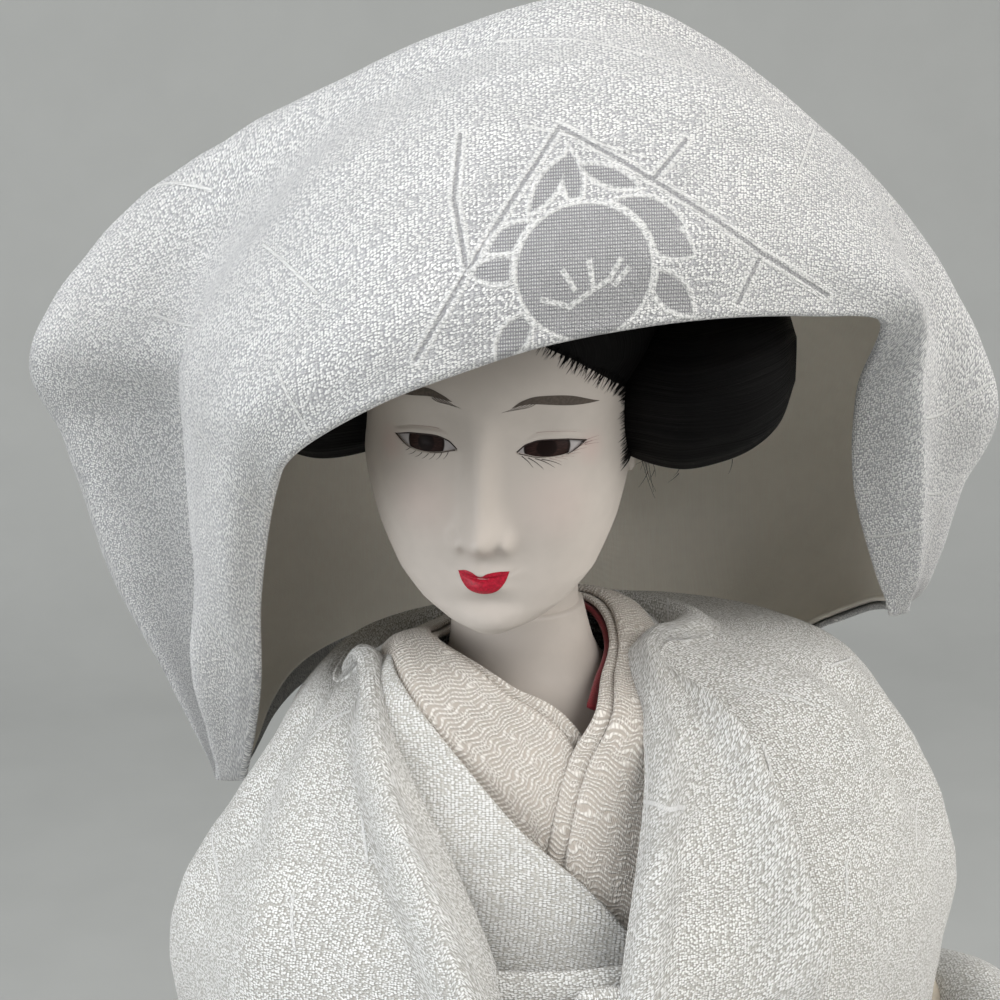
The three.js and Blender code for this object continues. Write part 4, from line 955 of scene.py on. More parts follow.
def face_relief(x, z):
    """How far the face's forms stand out from the plain head."""
    a, ridge, mouth = np.abs(x), x + 0.9, x - MOUTH_X
    places = {"nose": ridge, "nostrils": np.abs(ridge), "mouth": mouth, "middle": x, "sides": a}
    made = nose_height(z) * bell(ridge, 0, nose_width(z))
    for key, high, at, wide, up, long in FACE_FORMS:
        made = made + high * bell(places[key], at, wide) * bell(z, up, long)
    made = made - 0.45 * bell(mouth, 0, 3.4) * bell(z, -17.9 + 0.05 * mouth**2, 0.32)
    rise = np.where(x > 0, EYE_RISE[1], EYE_RISE[-1])
    above = z - lid_upper(np.clip(a, EYE_INNER, EYE_OUTER)) - rise
    crease = bell(above, 1.15, 0.28) - 0.8 * bell(above, 0.55, 0.4)
    return made - 0.16 * crease * step(a, 5, 7) * (1 - step(a, 12.5, 14.5))


def face_y(x, z):
    """The face's y over a place in its front view."""
    s = np.clip(np.abs(x) / head_width(z), 0, 1) ** (1 / ROUND)
    c = np.sqrt(np.maximum(0, 1 - s**2))
    return head_middle(z) - head_front(z) * c**ROUND - face_relief(x, z) * step(c, 0.05, 0.5)


def on_face(x, z, lift=0.0):
    """Points on the face, in the part's frame, lifted a little off the skin."""
    x, z = np.broadcast_arrays(np.asarray(x, float), np.asarray(z, float))
    return place_head(stacked(x, face_y(x, z) - lift, z))


def head_points(angle, z):
    """The head's skin at angles from the middle of the face and heights, with the eyes sunk in."""
    c, s = np.cos(angle), np.sin(angle)
    x = head_width(z) * np.sign(s) * np.abs(s) ** ROUND - 1.3 * bell(z, -6, 12) * step(-s, 0.5, 1)
    depth = np.where(c > 0, head_front(z), head_back(z))
    y = head_middle(z) - depth * np.sign(c) * np.abs(c) ** ROUND
    front = step(c, 0.05, 0.5)
    y = y - front * face_relief(x, z) + front * 1.3 * step(eye_depth(x, z), -0.06, 0.12)
    return place_head(stacked(x, y, z))


def neck_line(share):
    """The neck's middle line from the bust to the head."""
    top = place_head(np.array([0, 4, -12.0]))
    points = [
        NECK + (0, 0, -3.3), NECK + (0, 0, 3),
        (*mix(NECK[:2], top[:2], 0.35), NECK[2] + 12),
        (*mix(NECK[:2], top[:2], 0.8), mix(NECK[2], top[2], 0.75)), top,
    ]
    return catmull(np.array(points, float), share)


def merged(name, parts):
    """Several made objects joined into one."""
    bpy.ops.object.select_all(action="DESELECT")
    for part in parts:
        part.select_set(True)
    bpy.context.view_layer.objects.active = parts[0]
    bpy.ops.object.join()
    parts[0].name = parts[0].data.name = name
    return parts[0]


def build_head():
    """Skull and face as one dense skin, with the neck and ears."""
    spans = [(-100, -66, 18), (-65, 65, 330), (66, 100, 18), (104, 256, 39)]
    angles = np.radians(np.concatenate([np.linspace(*span) for span in spans]))
    heights = [(-27.3, -26.5, 6), (-26.3, -0.6, 104), (-0.4, 4.2, 48), (4.5, 14, 26), (14.6, 30, 26)]
    levels = np.concatenate([np.linspace(*span) for span in heights])
    grid = head_points(angles[None, :], levels[:, None])
    skull = loft("head_skin", grid)
    share = shares(40)
    radius = 10.5 * profile([(0, 1.06), (0.25, 1), (0.5, 0.93), (0.75, 0.98), (1, 1.05)])(share)
    turn = circle(72)
    around = stacked(np.cos(turn), np.sin(turn), 0)
    neck = loft("neck_skin", neck_line(share)[:, None] + around[None] * radius[:, None, None])
    ears = []
    for side in (1, -1):
        out = np.linspace(0, 3.1, 14)
        fat = profile([(0, 0.72), (0.8, 0.92), (1.7, 1.0), (2.6, 0.78), (3.1, 0.3)])(out)
        a = circle(36)
        lobe = 1 + 0.12 * np.sin(a + 0.6)
        hollow = 0.5 * bell(out, 2.8, 0.5)
        x = side * (17.6 + out[:, None] - hollow[:, None])
        y = 1.5 + np.cos(a) * 3.3 * fat[:, None] * lobe + out[:, None] * 0.5
        z = -4.6 + np.sin(a) * 5.4 * fat[:, None] - 0.5 * bell(a, 4.7, 0.7)
        ears.append(loft(f"ear_skin_{side}", place_head(stacked(x, y, z))))
    return finish_piece(merged("head_skin", [skull, neck, *ears]), "head", "skin", skin(), "head")


def build_eyes():
    """The two glass eyes, seen through the lids."""
    recess = size_mm("eye_recess")
    look = once("glass_eye", eye_material, colour("iris"), colour("eye_white"))
    for word, side, middle in (("left", 1, 8.5), ("right", -1, -8.95)):
        x = side * np.linspace(3.5, 14.7, 90)[::side]
        z = np.linspace(-0.6, 3.8, 40) + EYE_RISE[side]
        x, z = np.meshgrid(x, z)
        swell = 0.3 * np.clip(1 - ((x - middle) / 5.5) ** 2 - ((z - 1.4 - EYE_RISE[side]) / 3) ** 2, 0, 1)
        grid = place_head(stacked(x, face_y(x, z) + recess + 0.15 - swell, z))
        uv = stacked((x - middle) * (0.84 if side > 0 else 1), z - 1.5 - EYE_RISE[side])
        finish_piece(patch(f"eye_ball_{word}", grid, uv), "head", "eye_glass", look, f"eye_{word}")


def band_patch(name, top, low, lift, count=70, rows=9):
    """A painted shape on the face between an upper and a lower line of (x, z) points."""
    share = shares(count)
    a, b = catmull(np.array(low, float), share), catmull(np.array(top, float), share)
    across = shares(rows)[:, None, None]
    flat = mix(a[None], b[None], across)
    return patch(name, on_face(flat[..., 0], flat[..., 1], lift))


def stroke(x0, z0, x1, z1, bend, thick, thin, lift=0.02):
    """One brush stroke on the face, with a little bend."""
    t = shares(7)
    sag = bend * 4 * t * (1 - t)
    length = math.hypot(x1 - x0, z1 - z0)
    nx, nz = -(z1 - z0) / length, (x1 - x0) / length
    return on_face(mix(x0, x1, t) + nx * sag, mix(z0, z1, t) + nz * sag, lift), thick, thin


# Painted shapes of the face: upper and lower lines as (x, z), from the viewer's left.
LIPS = (
    [(-4.35, -17.0), (-3.3, -16.75), (-2.2, -17.0), (-1.1, -17.6), (0.0, -17.05), (1.6, -16.78),
     (3.2, -16.8)],
    [(-4.35, -17.05), (-3.7, -18.6), (-2.5, -19.75), (-0.7, -20.25), (1.2, -19.8), (2.5, -18.5),
     (3.2, -16.85)],
)
BROWS = [
    ([(3.9, 8.4), (5.4, 9.45), (7.8, 9.95), (12.0, 9.3), (15.7, 7.3)],
     [(3.9, 8.35), (5.6, 8.75), (7.4, 8.7), (12.2, 7.75), (15.7, 7.25)]),
    ([(-13.6, 8.7), (-11.6, 10.0), (-8.4, 10.75), (-6.0, 10.0), (-4.6, 9.1)],
     [(-13.6, 8.65), (-11.0, 9.0), (-8.2, 9.45), (-6.0, 9.3), (-4.6, 9.05)]),
]
# Lashes below the eye at the viewer's right: both ends as x, z, and the bend.
LASHES = [
    (5.0, 0.55, 6.6, -1.2, 0.12), (5.9, 0.3, 8.1, -1.55, 0.16), (6.9, 0.15, 9.6, -1.4, 0.2),
    (7.8, 0.0, 10.6, -1.2, 0.2),
]
LASH_SHADE = (0.3, 0.19, 0.18)


def paint_lids():
    """Lines along the lids and the lashes below them."""
    lines = []
    for side in (1, -1):
        rise = EYE_RISE[side]
        x = np.linspace(4.3, 13.9, 50)
        lines.append((on_face(side * x, lid_upper(x) + rise + 0.02, -0.02), 0.1, 0.13))
        x = np.linspace(4.6, 8.4, 24)
        lines.append((on_face(side * x, lid_lower(x) + rise - 0.02, -0.02), 0.08, 0.03))
        x = np.linspace(11.2, 13.9, 16)
        lines.append((on_face(side * x, lid_lower(x) + rise, -0.04), 0.03, 0.1))
    for lash in LASHES:
        lines.append(stroke(*lash, 0.07, 0.015))
    for k in range(8):
        x0 = 5.6 + 0.98 * k
        low = float(lid_lower(x0)) + EYE_RISE[-1] - 0.1
        lines.append(stroke(-x0, low, -x0 - 0.75 - 0.1 * k, low - 1.15 + 0.05 * k, 0.1, 0.06, 0.015))
    look = once("lash_paint", paint_material, colour("lash"), 0.6)
    finish_piece(strands("lash_lines", lines, 5), "head", "skin", look)


def paint_lash_tips():
    """Pale strokes below and beside the eyes, and the crease above each."""
    pale = []
    for k in range(6):
        x0 = 8.9 + 0.85 * k
        low = float(lid_lower(x0)) - 0.12
        pale.append(stroke(x0, low, x0 + 1.7, low - 0.75 + 0.18 * k, 0.1, 0.045, 0.012))
    for k in range(3):
        pale.append(stroke(13.7, 1.7 - 0.3 * k, 15.6, 1.75 - 0.55 * k, 0.08, 0.05, 0.012))
        pale.append(stroke(-13.8, 2.0 - 0.3 * k, -15.9, 1.75 - 0.55 * k, -0.08, 0.05, 0.012))
    for side, far in ((1, 12.6), (-1, 12.0)):
        x = np.linspace(side * 7.0, side * far, 24)
        pale.append((on_face(x, lid_upper(np.abs(x)) + EYE_RISE[side] + 1.12, 0.0), 0.035, 0.02))
    look = once("lash_shade", paint_material, LASH_SHADE, 0.6)
    finish_piece(strands("lash_tips", pale, 5), "head", "skin", look)


def build_face_paint():
    """Lips, brows, lid lines and lashes, as thin paint on the skin."""
    lips = band_patch("lips", *LIPS, 0.05, 90, 30)
    finish_piece(lips, "head", "skin", once("lip_paint", paint_material, colour("lips"), 0.35, 0.3))
    brow_paint = once("brow_paint", paint_material, colour("brow"), 0.7)
    parts = [band_patch("brow", *lines, 0.03) for lines in BROWS]
    ends = [(5.8 + 0.35 * k, 9.3 - 0.12 * k, 2.5 + 0.62 * k, 7.7 + 0.1 * k, 0.2) for k in range(5)]
    ends += [(-6.4 - 0.3 * k, 9.9 - 0.14 * k, -3.4 - 0.6 * k, 8.2 + 0.12 * k, -0.2) for k in range(5)]
    parts.append(strands("brow_hairs", [stroke(*end, 0.09, 0.02) for end in ends]))
    finish_piece(merged("brows", parts), "head", "skin", brow_paint)
    paint_lids()
    paint_lash_tips()


CAP = np.array([
    (-12, 12, -2, 22), (-7, 19.5, 1.5, 27.5), (0, 22.6, 6.5, 30), (7, 23.6, 14, 31.2), (12, 24, 20, 31.5),
    (16, 24, 25.5, 31.4), (21, 23, 26.5, 30), (27, 19.5, 23, 26.5), (33, 12.5, 14.5, 18), (36, 4, 5, 6),
], float)
WING = np.array([
    (14, 7, 8, 4), (20, 11.9, 11.2, 4.2), (27, 16, 12.4, 4.6), (33, 15.5, 12.2, 5.6), (38, 13.4, 11.0, 6.6),
    (41.7, 9.6, 8.4, 7.6), (43.7, 3.4, 3.2, 8.2),
], float)


def powered(values, power):
    """Sines or cosines squared off a little."""
    return np.sign(values) * np.abs(values) ** power


def cap_at(z):
    """Half-width, front and back depth of the wig's cap at a height."""
    i = np.clip(np.searchsorted(CAP[:, 0], z) - 1, 0, len(CAP) - 2)
    share = np.clip((z - CAP[i, 0]) / (CAP[i + 1, 0] - CAP[i, 0]), 0, 1)
    return catmull(CAP[:, 1:], (i + share) / (len(CAP) - 1))


def egg(name, middle, radii):
    """An egg-shaped lock of hair with combed swells."""
    down = np.linspace(0.03, np.pi - 0.03, 48)
    turn = circle(96)
    swell = 1 + 0.012 * np.sin(turn * 11)[None] * np.sin(down)[:, None]
    x = np.sin(down)[:, None] * np.sin(turn) * radii[0] * swell
    y = np.sin(down)[:, None] * np.cos(turn) * radii[1] * swell
    z = np.cos(down)[:, None] * radii[2]
    return loft(name, place_head(stacked(x, y, z) + middle))


HAIRLINE = np.array([
    (0, 20.6), (5, 18.8), (9.3, 16.2), (12.7, 14), (16, 10.9), (18.4, 8), (19.2, 6), (19.2, 3.7),
    (19.3, 0), (19.3, -3.5), (19.3, -6),
], float)


def cap_front(z):
    """How deep the cap may be in front at a height, so that it leaves the face bare inside the hairline."""
    w, f, _ = cap_at(z)
    if not -5 < z < 20.6:
        return f
    edge = np.interp(-z, -HAIRLINE[:, 1], HAIRLINE[:, 0])
    bare = float(face_y(edge, z)) / -math.sqrt(1 - min(0.98, edge / w) ** 2)
    return min(f, bare - 0.2)


def hairline_paint(lines, rng):
    """The dark edge of the hair on the skin, and its points and fine hairs."""
    patches = []
    for side in (1, -1):
        edge = catmull(HAIRLINE, shares(120))
        way = unit(np.gradient(edge, axis=0))
        out = stacked(-way[:, 1], way[:, 0])
        out = out * np.sign(out @ np.array([1.0, 1.0]))[:, None]
        far = edge + out * 2.6
        limit = head_width(far[:, 1]) - 0.02
        far[:, 0] = np.minimum(far[:, 0], limit)
        share = shares(6)[:, None, None]
        flat = mix(edge[None], far[None], share) if side < 0 else mix(far[None], edge[None], share)
        patches.append(patch("hair_edge", on_face(side * flat[..., 0], flat[..., 1], 0.05)))
        reach_total = np.linalg.norm(np.diff(edge, axis=0), axis=-1).sum()
        for k in range(int(reach_total / 0.11)):
            at = catmull(HAIRLINE, np.array([rng.uniform(0.0, 1.0)]))[0]
            fringe = step(at[1], 5, 10)
            clump = k % 7 == 0
            reach = mix(rng.uniform(0.4, 1.3), rng.uniform(0.5, 2.2), fringe) * (1 if clump else 0.8)
            angle = mix(math.radians(rng.uniform(-12, 18)), math.radians(rng.uniform(42, 78)), fringe)
            x1, z1 = at[0] - reach * math.cos(angle), at[1] - reach * math.sin(angle)
            x0, z0 = at[0] + 0.7 * math.cos(angle), at[1] + 0.7 * math.sin(angle)
            x0 = min(x0, float(head_width(z0)) - 0.05)
            thick = 0.26 if clump else 0.11
            bend = side * rng.uniform(-0.08, 0.12)
            lines.append(stroke(side * x0, z0, side * x1, z1, bend, thick, 0.012, 0.03))
    return patches


def build_wig():
    """Cap, side wings, back lock, topknot, the hairs at the hairline and some loose ones."""
    z = np.concatenate([np.linspace(-12, 33, 70), np.linspace(33.3, 36, 8)])
    turn = circle(160)
    size = np.array([cap_at(v) for v in z])
    size[:, 1] = [cap_front(v) for v in z]
    c, s = np.cos(turn), np.sin(turn)
    depth = np.where(c > 0, size[:, 1:2], size[:, 2:3])
    cap = stacked(size[:, :1] * s, -depth * c, z[:, None])
    finish_piece(loft("hair_cap", place_head(cap)), "head", "hair", hair(), "wig_cap")
    for word, side in SIDES:
        at = shares(64)
        x, deep, high, rise = (catmull(WING, at)[:, k : k + 1] for k in range(4))
        a = circle(110)
        comb = 1 + 0.012 * np.sin(a * 17) * np.sin(np.pi * at)[:, None]
        y = 2 + powered(np.cos(a), 0.85) * deep * comb
        up = rise + powered(np.sin(a), 0.85) * high * comb
        rings = place_head(stacked(side * x, y, up))
        finish_piece(loft(f"hair_wing_{word}", rings), "head", "hair", hair(), f"side_lock_{word}")
    back = egg("hair_back", np.array([0, 29, 0]), (15, 13, 12))
    finish_piece(back, "head", "hair", hair(), "back_lock")
    knot = egg("hair_topknot", np.array([0, 3, 37.3]), (13, 16, 15.7))
    finish_piece(knot, "head", "hair", hair(), "topknot")
    rng = np.random.default_rng(7)
    thick = size_mm("hair_radius")
    lines = []
    edges = hairline_paint(lines, rng)
    root = np.array([20.6, 0.5, -6.5])
    for _ in range(5):
        start = root + rng.normal(0, 0.9, 3) * (0.6, 1.2, 0.8)
        drop = rng.uniform(3.5, 8.5)
        t = shares(10)[:, None]
        way = np.array([rng.uniform(0.5, 3.5), rng.uniform(-1.5, 1.0), -drop])
        curl = np.array([rng.uniform(-1, 1.6), rng.uniform(-0.8, 0.8), 0])
        lines.append((place_head(start + way * t + curl * t * (1 - t) * 2), thick * 0.55, 0.02))
    for _ in range(9):
        x0 = rng.uniform(21, 41)
        low = float(np.interp(x0, WING[:, 0], WING[:, 3] - WING[:, 2]))
        t = shares(8)[:, None]
        start = np.array([x0, rng.uniform(-9, -1), low + 1.0])
        way = np.array([rng.uniform(-2.5, 0.5), rng.uniform(-1, 1), -rng.uniform(1.2, 2.6)])
        lines.append((place_head(start + way * t + np.array([0.6, 0, 0]) * t * (1 - t)), thick * 0.65, 0.015))
    loose = merged("loose_hairs", [strands("loose_hairs", lines), *edges])
    finish_piece(loose, "head", "hair", hair())


# Hood: the part's net of points from the front rim to the back hem, station by station from tip to tip.
HOOD_NET = np.array([
    [[-49, 25, -25], [-51, 26, -25.3], [-52.5, 27.5, -25.8], [-53.2, 29.2, -26.2],
     [-53, 31, -26.5], [-51, 33, -26.5], [-48, 34, -26]],
    [[-46.7, 6, -2], [-50.5, 6, 0], [-56.5, 9, 0], [-53.5, 20, -1],
     [-62, 23, -2], [-56, 37, -11], [-43, 42, -20]],
    [[-46.2, -8, 17.7], [-51.5, -9, 20], [-60, -1, 19], [-56, 13, 17],
     [-68.5, 19, 14], [-60, 42, 2], [-37, 48, -16]],
    [[-44.5, -25, 38], [-51, -25.5, 42], [-61, -11, 43], [-57.5, 5, 41],
     [-75, 14, 39], [-61, 46, 15], [-30, 52, -14]],
    [[-42.5, -38, 47], [-49, -37, 54], [-59.5, -22, 59], [-60.5, -4, 56],
     [-79, 8, 55], [-57, 48, 28], [-22, 55, -13]],
    [[-32.5, -48, 55.6], [-38, -46, 65], [-49, -28, 74], [-53.5, -3, 73],
     [-63.3, 15, 74], [-47, 49, 41], [-14, 57, -12]],
    [[-21.2, -52, 60.7], [-25, -50, 72], [-33, -32, 85], [-35, -12, 90],
     [-37, 8, 90], [-28, 49, 54], [-6, 58, -12]],
    [[-8.1, -52, 64.3], [-8, -50, 77], [-6, -34, 94], [-4, -20, 102],
     [-2, -6, 104.2], [0, 46, 65], [2, 58.5, -12]],
    [[12, -46, 65.6], [14, -44.5, 78], [19, -30, 94], [21, -16, 98],
     [22, -3, 97.5], [26, 46, 54], [10, 58, -11]],
    [[31.7, -36, 64], [34.5, -35, 74], [42, -22, 82], [45.5, -7, 77],
     [53.3, 8, 76], [46, 47, 39], [18, 57, -10]],
    [[44.1, -28, 61], [50, -28.5, 64.5], [57, -14, 64], [60, -1, 58.5],
     [68.4, 10, 58], [56, 46, 27], [26, 55, -9]],
    [[44.6, -14.5, 48], [53.5, -20.5, 50.5], [61.5, -8.5, 48.5], [66, 3, 43],
     [77.4, 10, 39], [62, 44, 16], [34, 52, -7]],
    [[48, -4, 31], [57.5, -11.5, 33], [63.5, -3, 32.5], [66, 6, 29],
     [73, 12, 25], [63, 38, 10], [42, 46, -5]],
    [[54.8, 2, 14.5], [60.5, -3, 16], [63.5, 2, 15], [65, 8, 12],
     [68, 12, 9], [62, 30, 2], [49, 37, -3]],
    [[60, 5, 6], [62, 5.6, 5.8], [63.6, 8, 5.3], [64, 10.5, 4.6],
     [63.5, 13, 4], [61, 19, 2], [56, 24, 0]],
], float)
HOOD_CENTRE = np.array([0, 0, 338.0])
FIGURE_MIDDLE = np.array([-3.8, -45.0, 410.3])
FIGURE_RIGHT = np.array([math.cos(math.radians(-9)), math.sin(math.radians(-9)), 0])
FIGURE_UP = np.array([-0.0405, 0.2556, 0.9659])
# Behind this depth, in millimetres from the figure's middle, the figure isn't woven.
FIGURE_DEPTH = 45
# Folds of the cloth beyond the solid's: station, ring and how far that point moves.
HOOD_FOLDS = [
    (2, 2, 4.2, 0.5, 0), (2, 3, 3.6, 1, 0), (3, 2, 4.4, 0.5, 0), (3, 3, 4.2, 1.5, 0),
    (4, 2, 4.0, 0.5, 0), (4, 3, 4.2, 2, 0), (5, 2, 3.6, 0.5, 0), (5, 3, 4.6, 2, -1), (6, 3, 1.5, 1, -1.5),
    (10, 1, -0.6, -0.6, 0), (10, 2, -4.0, -1.0, -0.5), (11, 1, -0.8, -0.6, 0), (11, 2, -5.5, -0.5, 0),
    (7, 6, 0, 0, -3), (8, 6, 0, 0, -6), (9, 6, 0, 0, -7), (10, 6, 0, 0, -7), (11, 6, 0, 0, -8),
    (12, 5, 0, 0, -3), (12, 6, 0, 0, -9), (13, 5, 0, 0, -3), (13, 6, 0, 0, -7), (14, 6, 0, 0, -2),
    (12, 1, -0.4, -0.6, 0), (12, 2, -4.0, 0.3, 0), (13, 2, -1.8, 0, 0), (11, 3, -1.5, 0, 0),
    (12, 3, -1.0, 0, 0),
]
for station, ring, *move in HOOD_FOLDS:
    HOOD_NET[station, ring] += move


def hood_grid(stations, rings):
    """Points of the hood at shares along its rim and from the rim back to the hem."""
    along = catmull(HOOD_NET + HOOD_CENTRE, stations)
    return np.moveaxis(catmull(np.moveaxis(along, 1, 0), rings), 0, 1)


def build_hood():
    """Hood of brocade with a rolled rim, and its lining."""
    stations = shares(260)
    rings = 0.016 + 0.984 * shares(130) ** 1.25
    grid = hood_grid(stations, rings)
    about = lambda p: np.broadcast_to(HEAD, p.shape)
    normals = grid_frame(grid, about, False)[0]
    calm = step(rings, 0.02, 0.12)[None, :, None]
    grid = grid + normals * calm * (0.22 * ripple(grid, 26, 3) + 0.1 * ripple(grid, 9, 4))[..., None]
    run = lengths(grid, 1, 0)
    inner = -mix(size_mm("hood_rim"), 1.0, step(run, 0.5, 6.0))
    uv = stacked(lengths(grid, 0, len(stations) // 2), run)
    hood = cloth("hood_cloth", grid, 0.0, inner, about, uv=uv)
    flat = np.array([v.co for v in hood.data.vertices]) / MM - FIGURE_MIDDLE
    seen = stacked(flat @ FIGURE_RIGHT, flat @ FIGURE_UP)
    seen[flat[:, 1] > FIGURE_DEPTH] += 500
    layer = hood.data.uv_layers.new(name="figure")
    corner = np.zeros(len(hood.data.loops), int)
    hood.data.loops.foreach_get("vertex_index", corner)
    layer.data.foreach_set("uv", (seen[corner] * MM).astype(np.float32).ravel())
    look = once("hood_brocade", brocade_material, colour("hood_ground"), colour("floss"), 0.94, True, 24.0)
    sheet_piece(hood, "hood", "brocade", look, "hood_outer", (0.27, 0.14), "draped", ["hair_topknot"])
    lining = cloth("hood_lining_cloth", grid[2:-2, 3:-2], -1.25, -2.1, about)
    look = silk_cloth("lining_silk", "lining")
    sheet_piece(lining, "hood", "plain_silk", look, "hood_lining", (0.26, 0.135), "draped", ["hair_topknot"])


# Collars: three guide lines a side give the inner edge, the half collar's edge and the kimono collar's edge.
GUIDE_RIGHT = np.array([
    [[0, 15.2, 8.5], [11.5, 9.5, 9.5], [13.6, -2, 6], [7.4, -17.5, 0.8], [1.5, -25.5, -9], [-5.5, -36, -37]],
    [[0, 24, 4], [17, 16, 6.5], [20.5, -2, 4], [20, -16, -5], [16, -26, -17], [10, -36, -37]],
    [[0, 34, -9], [28, 22, -8], [35, 1, -8], [35, -18, -14], [36, -28, -25], [38, -34, -41]],
], float)
GUIDE_LEFT = np.array([
    [[0, 15.2, 8.5], [-11, 9.5, 5], [-15, -6, 8.5], [-6.5, -18, 5.5], [5, -25, -3.5], [19, -36, -36]],
    [[0, 24, 4], [-17, 16, 1], [-20, -5, 7], [-17.5, -16.5, 2], [-4.5, -27, -14], [12.5, -36, -36]],
    [[0, 34, -9], [-29, 22, -11], [-36, 1, -8], [-33, -18, -14], [-25, -30, -25], [-16, -34, -41]],
], float)
GUIDE_WIDTHS = np.array([0.0, 14.0, 36.0])
# One layer of collar: its step above the layer below, and the cloth's own thickness.
LAYER, COLLAR_THICK = 1.2, 0.9


def chest_front(z):
    """How far the chest stands forward at a height."""
    return 22.5 + (NECK[2] - 2 - z) * 0.4


def collar_points(t, across):
    """Points of the collar surface: t from -1 over the nape to 1, and millimetres from its inner edge."""
    t, across = np.broadcast_arrays(t, across)
    flat_t, flat_a = t.ravel(), across.ravel()
    share = np.abs(flat_t)
    left, right = (
        np.stack([catmull(line + (NECK[0], 0, NECK[2]), share) for line in guides])
        for guides in (GUIDE_LEFT, GUIDE_RIGHT)
    )
    lines = np.where((flat_t < 0)[None, :, None], left, right)
    span = (flat_a >= GUIDE_WIDTHS[1]).astype(int)
    part = (flat_a - GUIDE_WIDTHS[span]) / (GUIDE_WIDTHS[span + 1] - GUIDE_WIDTHS[span])
    k = np.arange(len(flat_t))
    made = mix(lines[span, k], lines[span + 1, k], part[:, None])
    front = step(share, 0.5, 0.68)
    chest = -chest_front(made[:, 2]) + np.where(made[:, 0] < 0, 0.008, 0.013) * made[:, 0] ** 2
    made[:, 1] = mix(made[:, 1], chest, front)
    return made.reshape(t.shape + (3,))


def collar(name, start, end, first, last, level, rows=24, count=300, soft=0.0):
    """A collar strip; start and end are functions of t, level is in cloth steps above the chest."""
    t = np.linspace(first, last, count)
    share = shares(rows)
    grid = collar_points(t[:, None], mix(start(t)[:, None], end(t)[:, None], share[None]))
    about = lambda p: stacked(0.0, 4.0, p[..., 2] - 14)
    inner = (LAYER * level(t))[:, None] + 0 * share
    swell = soft * np.sin(np.pi * share) ** 0.5
    along = lengths(grid, 0, count // 2).mean(axis=1, keepdims=True)
    uv = stacked(lengths(grid, 1, rows // 2), along)
    return cloth(name, grid, inner + COLLAR_THICK + swell[None], inner, about, uv=uv)


def even(value):
    """A function with one value."""
    return lambda t: value + 0 * t


def build_collars():
    """Red under-collar, the two crepe collars and the kimono's collar."""
    crossing = lambda nape, right: lambda t: mix(nape, right, step(t, 0.5, 0.66))
    red = collar("red_under_collar", even(-1.2), even(3.5), 0.04, 0.58, even(-1.0), 10, 120)
    look = silk_cloth("red_collar_silk", "red_silk", 0.7, 0.4)
    flat, rests_on = (0.01, 0.05), ["bust_plate"]
    sheet_piece(red, "doll", "red_silk", look, "red_collar", flat, "folded", rests_on, area=0.00025)
    crepe = once("wavy_crepe", crepe_material, colour("crepe_ground"), colour("crepe_ridge"))
    inner = collar("inner_crepe_collar", even(-0.4), even(7.0), -0.9, 0.99, crossing(0, 2), 14, 300, 0.25)
    sheet_piece(inner, "doll", "crepe", crepe, "inner_collar", (0.01, 0.17), "folded", ["bust_plate"])
    wide = lambda t: mix(14.5, 17.5, step(-t, 0.2, 0.4))
    half = collar("half_crepe_collar", even(1.8), wide, -0.9, 0.99, crossing(1, 3), 26, 320, 0.5)
    sheet_piece(half, "doll", "crepe", crepe, "half_collar", (0.013, 0.18), "folded", ["inner_crepe_collar"])
    start = lambda t: mix(15.4, 13, step(-t, 0.78, 0.93))
    end = lambda t: mix(26, np.where(t < 0, 34, 27), step(np.abs(t), 0.4, 0.6))
    level = lambda t: 1 + 1.1 * step(-t, 0.4, 0.5) + 2.7 * step(-t, 0.64, 0.8)
    kimono = collar("kimono_collar_cloth", start, end, -0.985, 0.9, level, 30, 320, 0.3)
    look, rests_on = kimono_cloth(), ["half_crepe_collar"]
    sheet_piece(kimono, "doll", "plain_silk", look, "kimono_collar", (0.02, 0.17), "folded", rests_on)


def oval(levels, turn, square=1.0):
    """Egg-shaped rings from (z, half-width, front, back) levels."""
    c, s = powered(np.cos(turn), square), powered(np.sin(turn), square)
    z, w, f, b = (levels[:, k : k + 1] for k in range(4))
    return stacked(w * s, -np.where(c > 0, f, b) * c, z)


def axis_of(p):
    """The doll's upright axis beside points."""
    return stacked(0.0, 0.0, p[..., 2])


BODICE = 35.2
SKIRT = np.array([
    (FLOOR + 1.2, 66, 60, 62), (FLOOR + 12, 57, 52, 54), (FLOOR + 36, 49, 45, 47), (FLOOR + 90, 43, 39, 41),
    (HIP - 20, 39.5, 36, 37), (HIP + 25, 37, 35, 33.5), (OBI_BOTTOM - 0.3, 34.5, 33.5, 28),
], float)


def smooth_levels(levels, count):
    """Levels read smoothly at evenly spaced shares."""
    return catmull(levels, shares(count))


